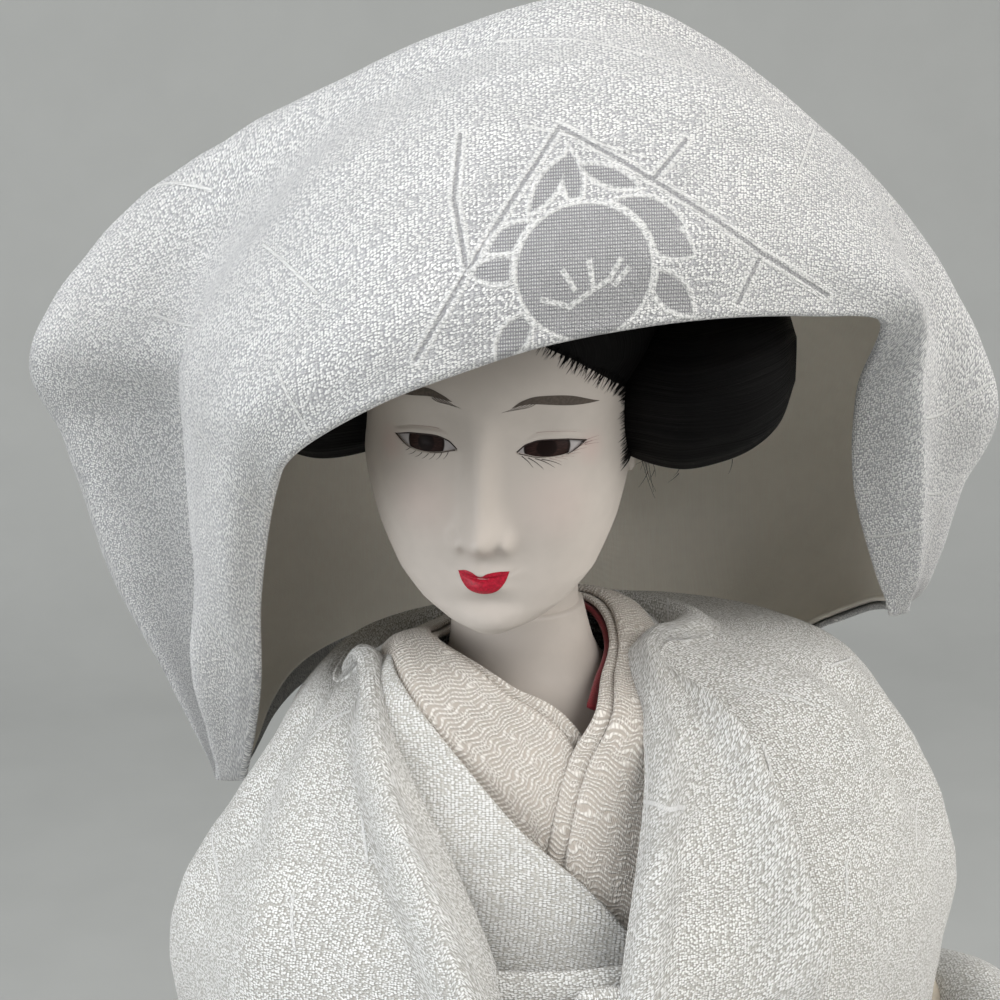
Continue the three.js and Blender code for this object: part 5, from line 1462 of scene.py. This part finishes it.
def build_kimono():
    """Bodice, skirt and its front flap."""
    neck = NECK[2]
    bodice = np.array([
        (OBI_BOTTOM + 1, BODICE - 1.6, 32.5, 26.4), (OBI_BOTTOM + 20, BODICE - 0.6, 34.5, 27),
        (OBI_TOP - 3, BODICE, chest_front(OBI_TOP - 3) - 0.6, 27.5),
        (neck - 25, BODICE, chest_front(neck - 25) - 0.7, 27.5),
        (neck - 17, BODICE - 1, chest_front(neck - 17) - 1, 27),
        (neck - 11, BODICE - 5.5, chest_front(neck - 11) - 2.2, 24),
    ], float)
    turn = circle(180)
    look = plain_cloth()
    made = cloth("bodice_cloth", oval(smooth_levels(bodice, 50), turn), 0, -1, axis_of, True)
    sheet_piece(made, "doll", "plain_silk", look, "kimono_bodice", (0.21, 0.06), "folded", ["torso_core"])
    levels = smooth_levels(SKIRT, 90)

    def skirt(turns):
        fold = 2.6 * (1 - step(levels[:, 0], FLOOR, HIP))[:, None]
        swell = 1 + fold * (np.cos(turns * 7 + 0.6) + 0.25 * np.cos(turns * 19 + 2)) / 60
        return oval(levels, turns) * stacked(swell, swell, 1.0)

    made = cloth("skirt_cloth", skirt(turn), 0, -1, axis_of, True)
    sheet_piece(made, "doll", "plain_silk", look, "kimono_skirt", (0.27, 0.25), "gathered", ["torso_core"])
    wide = np.radians(np.linspace(-83, 34, 120))
    made = cloth("skirt_flap_cloth", skirt(wide), 2.4, 1.4, axis_of)
    sheet_piece(made, "doll", "plain_silk", look, "kimono_flap", (0.085, 0.25), "hung", ["skirt_cloth"])


OBI_FRONT = chest_front(OBI_TOP - 3) + 5 * LAYER + COLLAR_THICK + 0.3 + 2.2
OBI_BACK = 30.5


def obi_ring(z, turn, out):
    """Rings of the sash at heights, standing out by a distance."""
    levels = stacked(z, BODICE + 3 + out, OBI_FRONT + out, OBI_BACK + out)
    return oval(levels, turn, 0.74)


def build_sash():
    """Sash band, bow at the back, cord, scarf and its two tabs."""
    brocade = robe_cloth()
    z = np.linspace(OBI_BOTTOM + 0.6, OBI_TOP, 30)
    band = cloth("obi_cloth", obi_ring(z, circle(260), 0.25 * np.sin(z * 0.8)), 0, -2.2, axis_of, True)
    sheet_piece(band, "doll", "brocade", brocade, "obi_band", (0.035, 0.25), "folded", ["bodice_cloth"])
    x = np.linspace(-24, 24, 70)
    pairs = [(-24, 0.5), (-22, 0.95), (-12, 1.0), (0, 0.78), (12, 1.0), (22, 0.95), (24, 0.5)]
    full = profile(pairs)(x)[:, None]
    a = circle(90)
    flat_c, flat_s = powered(np.cos(a), 0.6), powered(np.sin(a), 0.6)
    crease = 1 + 0.03 * np.sin(a * 6) * bell(x, 0, 7)[:, None]
    y = OBI_BACK + 6.2 + 5.6 * full * flat_c * crease
    z = mix(OBI_BOTTOM, OBI_TOP, 0.5) + 15 * full * flat_s * crease
    bow = loft("obi_bow_cloth", stacked(x[:, None], y, z))
    finish_piece(bow, "doll", "brocade", brocade, "obi_bow")
    part = np.radians(np.linspace(-128, 128, 240))
    line = obi_ring(np.array([mix(OBI_BOTTOM, OBI_TOP, 0.45)]), part, 1.9)[0]
    out = unit(line * (1, 1, 0))
    b = circle(14)[None, :, None]
    tube = line[:, None] + out[:, None] * np.cos(b) * 1.6 + np.array([0, 0, 1.6]) * np.sin(b)
    look = once("gold_braid", cord_material, colour("cord"))
    finish_piece(loft("obi_cord_braid", tube), "doll", "cord", look, "obi_cord")
    up = np.linspace(0, 6, 16)
    out = profile([(0, 0.6), (2.2, 1.5), (4.4, 0.9), (6, -0.5)])(up)
    scarf = obi_ring(OBI_TOP + 0.3 + up, np.radians(np.linspace(-146, 146, 240)), out)
    scarf = scarf + 0.18 * ripple(scarf, 7, 21)[..., None] * unit(scarf * (1, 1, 0))
    made = cloth("scarf_cloth", scarf, 0, -1.3, axis_of)
    sheet_piece(made, "doll", "plain_silk", brocade, "obi_scarf", (0.01, 0.22), "folded", ["obi_cloth"])
    tabs = []
    for x0, wide, drop in ((-8.6, 9.2, 1.6), (-0.6, 8.2, -0.4)):
        share = shares(24)[:, None]
        full = profile([(0, 0.72), (0.1, 0.92), (0.25, 1), (0.75, 1), (0.9, 0.92), (1, 0.72)])(share)
        x = x0 + (share - 0.5) * wide
        y = -OBI_FRONT - 3.65 + 1.8 * full * flat_c
        tabs.append(loft("scarf_tab", stacked(x, y, OBI_TOP - drop + 5.4 * full * flat_s)))
    tabs = finish_piece(merged("scarf_tabs", tabs), "doll", "plain_silk", brocade, "obi_scarf_knot")


# Robe: half rings from the front edge over the side to the middle of the back, at eight heights.
ROBE = [
    ([(-29.5, -6, 8.4), (14.5, -7, 8.2)], (26.2, -2.7, 5, 3.4, 3.8), (28.5, 3.0)),
    ([(-29, -28.8, -6), (12, -33.5, -5.2)], (44, 6, 4, 1, 0.6), (39, 0)),
    ([(-20.5, -51, -28), (5, -51.5, -28)], (62.5, 4.5, 3, -30, 0), (47.5, -26)),
    ([(-17, -55.5, -53), (1, -56.5, -53)], (63, 4, 2, -55, 0), (58, -53)),
    ([(-18, -51, -88), (11, -51.5, -88)], (60, 2, 2, -88, 0), (60, -88)),
    ([(-28, -48, -158), (27, -48, -158)], (57, 0, 1, -158, 0), (59, -158)),
    ([(-42, -56, -228), (42, -56, -228)], (69, 0, 2, -228, 0), (74, -228)),
    ([(-58, -76, -310), (58, -76, -310)], (104, 0, 4, -310, 0), (107, -310)),
]
ROBE_DROP = (NECK[2] - FLOOR - 1.2) / 310
SEAM = 0.56
# Folds: share around, share down, slant, width, length and height, on the side at +X, the other, or both.
FOLDS_BOTH = [
    (0.7, 0.5, 0.1, 0.045, 0.28, 2.0), (0.79, 0.62, 0.05, 0.03, 0.3, -1.6),
    (0.9, 0.55, -0.04, 0.035, 0.3, 1.6),
]
ROBE_FOLDS = {
    1: [
        (0.31, 0.14, 0.35, 0.035, 0.09, 1.9), (0.43, 0.21, 0.25, 0.04, 0.13, 2.4),
        (0.37, 0.19, 0.3, 0.025, 0.1, -1.4), (0.52, 0.33, 0.0, 0.05, 0.16, 2.6), *FOLDS_BOTH,
    ],
    -1: [
        (0.36, 0.22, 0.3, 0.04, 0.1, -1.9), (0.27, 0.3, 0.2, 0.04, 0.1, 1.4),
        (0.47, 0.38, 0.1, 0.045, 0.12, 2.0), (0.54, 0.24, 0.6, 0.07, 0.06, -2.6), *FOLDS_BOTH,
    ],
}


def robe_controls(mirror):
    """Control points of one half of the robe, level by level."""

    def height(dz):
        return NECK[2] + (dz * ROBE_DROP if dz < 0 else dz)

    rows = []
    for edges, (half, shift, sy, sz, tilt), (by, bz) in ROBE:
        ex, ey, ez = edges[0 if mirror < 0 else 1]
        edge = np.array([ex, ey, height(ez)])
        side = np.array([mirror * half + shift, sy, height(sz + mirror * tilt)])
        back = np.array([shift * 0.5, by, height(bz)])

        def between(a, b, out):
            chord = b - a
            return (a + b) / 2 + np.array([chord[1], -chord[0], 0]) * mirror * out

        rows.append([edge, between(edge, side, 0.15), side, between(side, back, 0.2), back])
    return np.array(rows)


def robe_points(mirror, around, down, detail=1.0):
    """Points of the robe: share from front edge to middle of the back, share from neck to hem."""
    around, down = np.broadcast_arrays(np.asarray(around, float), np.asarray(down, float))
    shape = around.shape
    around, down = around.ravel(), down.ravel()
    lines = catmull(robe_controls(mirror), down)
    twin = lines[:, 3] * (-1, 1, 1) + lines[:, 4] * (2, 0, 0)
    made = catmull_each(np.concatenate([lines, twin[:, None]], axis=1), around * 0.8)
    fold = 3.6 * step(down, 0.45, 1) * np.cos(around * 15 + mirror * 0.7 + 0.4)
    sag = 1.1 * step(down, 0.2, 0.4) * (1 - step(down, 0.7, 0.95)) * np.sin(around * 11 + mirror * 2)
    fine = detail * (0.3 * ripple(made, 17, 31) + 0.15 * ripple(made, 8, 32)) * step(down, 0.06, 0.16)
    for at, low, slant, wide, long, high in ROBE_FOLDS[mirror] if detail else ():
        fine = fine + high * bell(around, at + slant * (down - low), wide) * bell(down, low, long)
    return (made + unit(made * (1, 1, 0)) * (fold + sag + fine)[:, None]).reshape(shape + (3,))


def robe_about(p):
    """The middle line that the robe's cloth faces away from."""
    return stacked(0.0, 2.0, np.minimum(p[..., 2], NECK[2] - 34))


# The collar band: its width over the share down; its line as shares around and down, and its turn inwards.
band_wide = profile([
    (0, 5), (0.06, 7.5), (0.14, 13), (0.24, 24), (0.3, 30), (0.335, 27), (0.37, 15), (0.5, 11), (1, 10),
])
BAND = np.array([
    *((0, down, 0) for down in (0.7, 0.6, 0.5, 0.42, 0.37, 0.335, 0.3, 0.25, 0.2, 0.15)),
    (0, 0.1, 0.1), (0, 0.05, 0.3), (0, 0.015, 0.5), (0.1, 0, 0.72), (0.25, 0, 0.9),
    *((around, 0, 1) for around in (0.4, 0.55, 0.7, 0.85, 1)),
], float)


def band_half(mirror, count=170, rows=26, lip=12):
    """Half of the collar band, up the front edge and round the neck, with a lip rolled in."""
    around, down, turn = catmull(BAND, shares(count)).T
    around, down, turn = np.clip(around, 0, 1), np.clip(down, 0, 1), np.clip(turn, 0, 1)
    at = robe_points(mirror, around, down, 0)
    wide = band_wide(down) if mirror > 0 else mix(5, 8, step(down, 0.02, 0.14))
    wide = wide * mix(0.45, 1, np.maximum(step(down, 0.0, 0.09), step(around, 0.05, 0.4)))
    reach_around = wide / (np.linalg.norm(at - robe_points(mirror, around + 0.1, down, 0), axis=-1) * 10)
    reach_down = wide / (np.linalg.norm(at - robe_points(mirror, around, down + 0.05, 0), axis=-1) * 20)
    share = shares(rows)
    a = around[:, None] + (reach_around * np.cos(turn * np.pi / 2))[:, None] * share
    d = down[:, None] + (reach_down * np.sin(turn * np.pi / 2))[:, None] * share
    band = robe_points(mirror, np.clip(a, 0, 1), np.clip(d, 0, 1), 0)
    to_neck = unit((NECK - at) * (1, 1, 0)) * 0.35 + np.array([0, 0, -0.93])
    way = mix(np.array([-0.4 * mirror, 0.9, -0.1]), to_neck, turn[:, None])
    deep = mix(3.0 if mirror > 0 else 9.0, 5.0, turn) * step(down + around, 0.0, 0.02)
    roll = band[:, :1] + way[:, None] * (deep[:, None] * np.linspace(1, 0, lip, endpoint=False))[..., None]
    grid = np.concatenate([roll, band], axis=1)
    for _ in range(10):
        grid[:, 1:-1] = (grid[:, :-2] + 2 * grid[:, 1:-1] + grid[:, 2:]) / 4
    return grid


def build_robe():
    """Front panels, back and collar band of the over-robe."""
    down = shares(170)[:, None] ** 1.3
    look = robe_cloth()
    for word, mirror in SIDES:
        grid = robe_points(mirror, np.linspace(0, SEAM, 90)[None], down)
        made = cloth(f"robe_{word}_cloth", grid, 0, -1, robe_about)
        node = f"robe_front_{word}"
        sheet_piece(made, "doll", "brocade", look, node, (0.094, 0.32), "hung", ["robe_back_cloth"])
    grid = np.concatenate([
        robe_points(-1, np.linspace(SEAM + 0.001, 1, 80)[None], down),
        robe_points(1, np.linspace(1, SEAM + 0.001, 80)[None][:, 1:], down),
    ], axis=1)
    made = cloth("robe_back_cloth", grid, 0, -1, robe_about)
    sheet_piece(made, "doll", "brocade", look, "robe_back", (0.2, 0.34), "hung", ["kimono_collar_cloth"])
    left, right = band_half(-1), band_half(1)
    grid = np.concatenate([left, right[::-1][1:]])
    share = np.clip(np.linspace(-0.46, 1, grid.shape[1]), 0, 1)[None]
    lapel = step(np.arange(len(grid)) / len(left), 1.36, 1.52)[:, None]
    flush, lift = step(share, 0.3, 1), step(share, 0.6, 1)
    outer = mix(mix(1.9, 0.35, flush), 2.2 + 2.8 * lift, lapel)
    inner = mix(mix(0.6, -0.4, flush), 1.0 + 2.5 * lift, lapel)
    face = grid + grid_frame(grid, robe_about, False)[0] * outer[..., None]
    made = cloth("robe_band_cloth", grid, outer, inner, robe_about, uv=cloth_uv(face))
    rests_on = ["robe_left_cloth", "robe_right_cloth"]
    sheet_piece(made, "doll", "brocade", look, "robe_collar", (0.018, 0.5), "folded", rests_on)


# Sleeve: x and y of its middle line, and the heights of its top and bottom above the neck, to its mouth.
LEAN = 4.0
SLEEVE = np.array([
    (60, 27, -66, -180), (73, 2, -58, -188), (71.5, -24, -62, -194), (59, -44, -68, -197),
    (36, -72, -71, -194),
], float)
# Shares of the rings that lie inside a sleeve's open mouth.
MOUTH_RINGS = np.array([1.0, 0.995, 0.97, 0.93, 0.88])


def arm_line(side, share):
    """The arm's middle line from shoulder to wrist."""
    z = NECK[2]
    points = [
        (side * 45 + LEAN / 2, 3, z - 24), (side * 53 + LEAN / 2, 4, z - 46), (side * 65 + LEAN, -2, z - 70),
        (side * 57 + LEAN / 4, -42, z - 77), (side * 24, -80, z - 80),
    ]
    return catmull(np.array(points, float), share)


def sleeve_rings(side, share, thin=0.0):
    """Rings round a sleeve at shares from shoulder to mouth; thin ones lie inside its cloth."""
    plan = catmull(SLEEVE[:, :2] * (side, 1), share)
    before, after = (catmull(SLEEVE[:, :2] * (side, 1), np.clip(share + k, 0, 1)) for k in (-0.03, 0.03))
    along = unit(after - before)
    out = stacked(-along[:, 1], along[:, 0]) * side
    top, bottom = catmull(SLEEVE[:, 2:], share).T
    v = np.concatenate([shares(80), np.linspace(1, 0, 80)])
    sign = np.repeat([1.0, -1.0], 80)
    round_ = np.sqrt(np.clip(1 - np.abs(2 * v - 1) ** 14, 0, 1)) * 0.8 + 0.2
    end = mix(0.45, 1.0, step(share, 0, 0.09))[:, None]
    thick = end * round_ * mix(7.8, 2.6, step(v, 0.1, 0.34))
    thick = np.maximum(thick - thin, 0.3 * thick)
    wave = 2.4 * step(v, 0.1, 0.8) * np.sin(share[:, None] * 12 + v * 1.5)
    by = wave + 5 * v + sign * thick
    x = plan[:, :1] + out[:, :1] * by + LEAN * (1 - share[:, None]) * (1 - v)
    y = plan[:, 1:] + out[:, 1:] * by
    v = mix(0.5, v, 1 - 0.02 * thin)
    z = mix(NECK[2] + top[:, None], NECK[2] + bottom[:, None] * ROBE_DROP, v)
    rings = stacked(x, y, z)
    return rings + 0.25 * ripple(rings, 15, 41)[..., None] * unit(rings * (1, 1, 0))


def build_sleeves():
    """Long hanging sleeves, each a flat double cloth with room for the forearm and an open mouth."""
    for word, side in SIDES:
        outside = sleeve_rings(side, shares(120))
        inside = sleeve_rings(side, MOUTH_RINGS, 1.0)
        made = loft(f"sleeve_{word}_cloth", np.concatenate([outside, inside]))
        node, rests_on = f"sleeve_{word}", [f"arm_wrap_{word}"]
        sheet_piece(made, "doll", "brocade", robe_cloth(), node, (0.125, 0.14), "hung", rests_on)


def soften(obj, voxel, rounds):
    """Rounds off a copied solid: remeshed finely and smoothed."""
    remesh = obj.modifiers.new("remesh", "REMESH")
    remesh.mode = "VOXEL"
    remesh.voxel_size = voxel
    remesh.use_smooth_shade = True
    smooth = obj.modifiers.new("smooth", "SMOOTH")
    smooth.iterations = rounds
    smooth.factor = 0.5


def copied(name, node):
    """A new piece that starts from a CAD node's solid."""
    obj = bpy.data.objects.new(name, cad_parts[node].data.copy())
    obj.data.materials.clear()
    bpy.context.scene.collection.objects.link(obj)
    return obj


def build_arms():
    """Wrapped arms and softly modelled hands."""
    wrap = once("paper_wrap", silk_material, (0.62, 0.56, 0.46), (0.5, 0.44, 0.35), 0.5)
    for word, side in SIDES:
        share = np.linspace(0, 0.985, 90)
        line = arm_line(side, share)
        way = unit(np.gradient(line, axis=0))
        u = unit(np.cross(way, np.array([0.2, 0.3, 0.93])))
        v = np.cross(way, u)
        a = circle(40)[None, :, None]
        wound = 4.45 + 0.12 * np.sin(share * 190)[:, None, None]
        rings = line[:, None] + (u[:, None] * np.cos(a) + v[:, None] * np.sin(a)) * wound
        finish_piece(loft(f"arm_wrap_{word}", rings), "doll", "wrapping", wrap, f"arm_{word}")
        hand = copied(f"hand_skin_{word}", f"hand_{word}")
        soften(hand, 0.00035, 6)
        finish_piece(hand, f"hand_{word}", "skin", skin(), f"hand_{word}")


def build_bust():
    """The bust's skin, from the chest up round the neck."""
    z = np.linspace(318, 351, 46)
    radius = profile([
        (318, 30), (326, 28), (331.5, 23), (336, 18), (339.5, 14.2), (341.5, 12.6), (344, 11.6),
        (348, 10.9), (351, 10.5),
    ])(z)
    share = shares(200)
    line = neck_line(share)
    x, y = (np.interp(z, line[:, 2], line[:, k])[:, None] for k in (0, 1))
    turn = circle(96)
    grid = stacked(x + np.cos(turn) * radius[:, None], y + np.sin(turn) * radius[:, None], z[:, None])
    finish_piece(loft("bust_skin", grid), "doll", "skin", skin(), "bust_plate")


def dress_core():
    """Materials for the rigid nodes that stay as packed, and softly rounded legs."""
    lacquer = once("black_lacquer", hard_material, colour("lacquer"), 0.1, scale=60.0, bump=0.02, coat=0.6)
    steel = once("drawn_steel", hard_material, (0.5, 0.5, 0.52), 0.3, 1.0, (40, 40, 1), 60.0, 0.15)
    straw = once("bundled_straw", hard_material, (0.55, 0.4, 0.17), 0.75, 0.0, (14, 14, 1), 60.0, 0.4, 0.5)
    wood = once("turned_wood", hard_material, (0.5, 0.3, 0.12), 0.5, 0.0, (8, 8, 1), 60.0, 0.25, 0.1)
    looks = {"torso_core": straw, "neck_bush": wood, "neck_peg": wood}
    looks["base_board"] = lacquer
    for end in ("front", "back"):
        for word in ("left", "right"):
            looks[f"base_foot_{end}_{word}"] = lacquer
    for node in ("rod_nut", "rod_washer", "stand_rod", "wrist_pin_left", "wrist_pin_right"):
        looks[node] = steel
    for node, look in looks.items():
        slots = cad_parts[node].data.materials
        slots.clear()
        slots.append(look)
    sock = once("leg_wrap", hard_material, (0.66, 0.62, 0.55), 0.8, 0.0, (1, 1, 6), 900.0, 0.12, 0.4)
    for word in ("left", "right"):
        leg = copied(f"leg_wrap_{word}", f"leg_{word}")
        soften(leg, 0.0008, 6)
        finish_piece(leg, "doll", "wrapping", sock, f"leg_{word}")


# Lamps: place in metres, power in watts, width and tint; all look at LAMP_AIM.
LAMP_AIM = (0, 0, 0.36)
LAMPS = {
    "above": ((-0.8, -0.2, 1.6), 9.0, 1.0, (1, 1, 1)),
    "left": ((-1.25, -0.5, 0.75), 15.5, 1.0, (0.96, 0.98, 1)),
    "right": ((1.25, -0.2, 0.85), 11.0, 1.0, (1, 0.97, 0.93)),
    "low": ((0.95, -1.2, 0.45), 3.2, 0.8, (1, 0.97, 0.93)),
    "front": ((0.7, -0.95, 1.35), 11.0, 1.0, (1, 0.98, 0.95)),
}
# The camera as fitted to the photograph.
CAMERA_PLACE, CAMERA_AIM = (-0.0575, -0.3143, 0.4530), (-0.0122, -0.0281, 0.3754)
LENS, SENSOR = 75.5, 36.0


def placed(name, data, place, aim):
    """A lamp or camera at a place, looking at a point."""
    obj = bpy.data.objects.new(name, data)
    bpy.context.scene.collection.objects.link(obj)
    obj.location = place
    obj.rotation_mode = "QUATERNION"
    obj.rotation_quaternion = (Vector(aim) - Vector(place)).to_track_quat("-Z", "Y")
    return obj


def lamp(name, place, power, width, tint):
    """A soft square lamp."""
    data = bpy.data.lights.new(name, "AREA")
    data.energy, data.size, data.color = power, width, tint
    placed(name, data, place, LAMP_AIM)


def build_stage():
    """Camera, pale floor with a curved wall, and soft light."""
    scene = bpy.context.scene
    wall = once("studio_wall", hard_material, colour("wall"), 0.85, scale=14.0, spread=0.02, bump=0.01)
    x = np.linspace(-2600, 2600, 3)
    turn = np.linspace(0, np.pi / 2, 24)
    y = np.concatenate([[-2600], 900 + 500 * np.sin(turn), [1400]])
    z = np.concatenate([[0], 500 - 500 * np.cos(turn), [3200]])
    floor = patch("studio_floor", stacked(x[None], y[:, None], z[:, None]))
    floor.data.materials.append(wall)
    data = bpy.data.cameras.new("camera")
    data.lens, data.sensor_width = LENS, SENSOR
    data.clip_start = 0.01
    scene.camera = placed("camera", data, CAMERA_PLACE, CAMERA_AIM)
    world = bpy.data.worlds.new("studio")
    scene.world = world
    world.use_nodes = True
    back = world.node_tree.nodes["Background"]
    back.inputs["Color"].default_value = (0.96, 0.98, 1.0, 1)
    back.inputs["Strength"].default_value = 0.22
    for name, settings in LAMPS.items():
        lamp(name, *settings)
    scene.view_settings.view_transform = "Standard"


class DOLL_OT_hood(bpy.types.Operator):
    """Build the hood and its lining"""

    bl_idname = "doll.hood"
    bl_label = "Hood"

    def execute(self, context):
        build_hood()
        return {"FINISHED"}


class DOLL_OT_head(bpy.types.Operator):
    """Build the head, its eyes and the face's paint"""

    bl_idname = "doll.head"
    bl_label = "Head"

    def execute(self, context):
        build_head()
        build_eyes()
        build_face_paint()
        return {"FINISHED"}


class DOLL_OT_wig(bpy.types.Operator):
    """Build the wig and its loose hairs"""

    bl_idname = "doll.wig"
    bl_label = "Wig"

    def execute(self, context):
        build_wig()
        return {"FINISHED"}


class DOLL_OT_collars(bpy.types.Operator):
    """Build the layered collars"""

    bl_idname = "doll.collars"
    bl_label = "Collars"

    def execute(self, context):
        build_collars()
        return {"FINISHED"}


class DOLL_OT_kimono(bpy.types.Operator):
    """Build the kimono's bodice, skirt and flap"""

    bl_idname = "doll.kimono"
    bl_label = "Kimono"

    def execute(self, context):
        build_kimono()
        return {"FINISHED"}


class DOLL_OT_sash(bpy.types.Operator):
    """Build the sash, its bow, cord and scarf"""

    bl_idname = "doll.sash"
    bl_label = "Sash"

    def execute(self, context):
        build_sash()
        return {"FINISHED"}


class DOLL_OT_robe(bpy.types.Operator):
    """Build the over-robe with its collar band and sleeves"""

    bl_idname = "doll.robe"
    bl_label = "Robe"

    def execute(self, context):
        build_robe()
        build_sleeves()
        return {"FINISHED"}


class DOLL_OT_body(bpy.types.Operator):
    """Build the arms, hands and legs and dress the rigid nodes"""

    bl_idname = "doll.body"
    bl_label = "Body and base"

    def execute(self, context):
        build_arms()
        build_bust()
        dress_core()
        return {"FINISHED"}


class DOLL_OT_stage(bpy.types.Operator):
    """Set up the camera, floor and light"""

    bl_idname = "doll.stage"
    bl_label = "Stage"

    def execute(self, context):
        build_stage()
        return {"FINISHED"}


STEPS = ("stage", "hood", "head", "wig", "collars", "kimono", "sash", "robe", "body")


class DOLL_PT_panel(bpy.types.Panel):
    """The doll's colours, sizes and building steps"""

    bl_idname = "DOLL_PT_panel"
    bl_label = "Bride doll"
    bl_space_type = "VIEW_3D"
    bl_region_type = "UI"
    bl_category = "Doll"

    def draw(self, context):
        scene = context.scene
        for key in COLOURS:
            self.layout.prop(scene.doll_colours, key)
        for key in SIZES:
            self.layout.prop(scene.doll_sizes, key)
        for key in STEPS:
            self.layout.operator(f"doll.{key}")


CLASSES = (
    DollColours, DollSizes, DOLL_OT_hood, DOLL_OT_head, DOLL_OT_wig, DOLL_OT_collars, DOLL_OT_kimono,
    DOLL_OT_sash, DOLL_OT_robe, DOLL_OT_body, DOLL_OT_stage, DOLL_PT_panel,
)


def register():
    """Adds the classes and the scene's settings."""
    for kind in CLASSES:
        bpy.utils.register_class(kind)
    bpy.types.Scene.doll_colours = PointerProperty(type=DollColours)
    bpy.types.Scene.doll_sizes = PointerProperty(type=DollSizes)


def unregister():
    """Takes them away again."""
    del bpy.types.Scene.doll_sizes
    del bpy.types.Scene.doll_colours
    for kind in reversed(CLASSES):
        bpy.utils.unregister_class(kind)


def main():
    """Builds the doll."""
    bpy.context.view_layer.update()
    register()
    for key in STEPS:
        getattr(bpy.ops.doll, key)()
    bpy.context.view_layer.update()


if __name__ == "__main__":
    main()
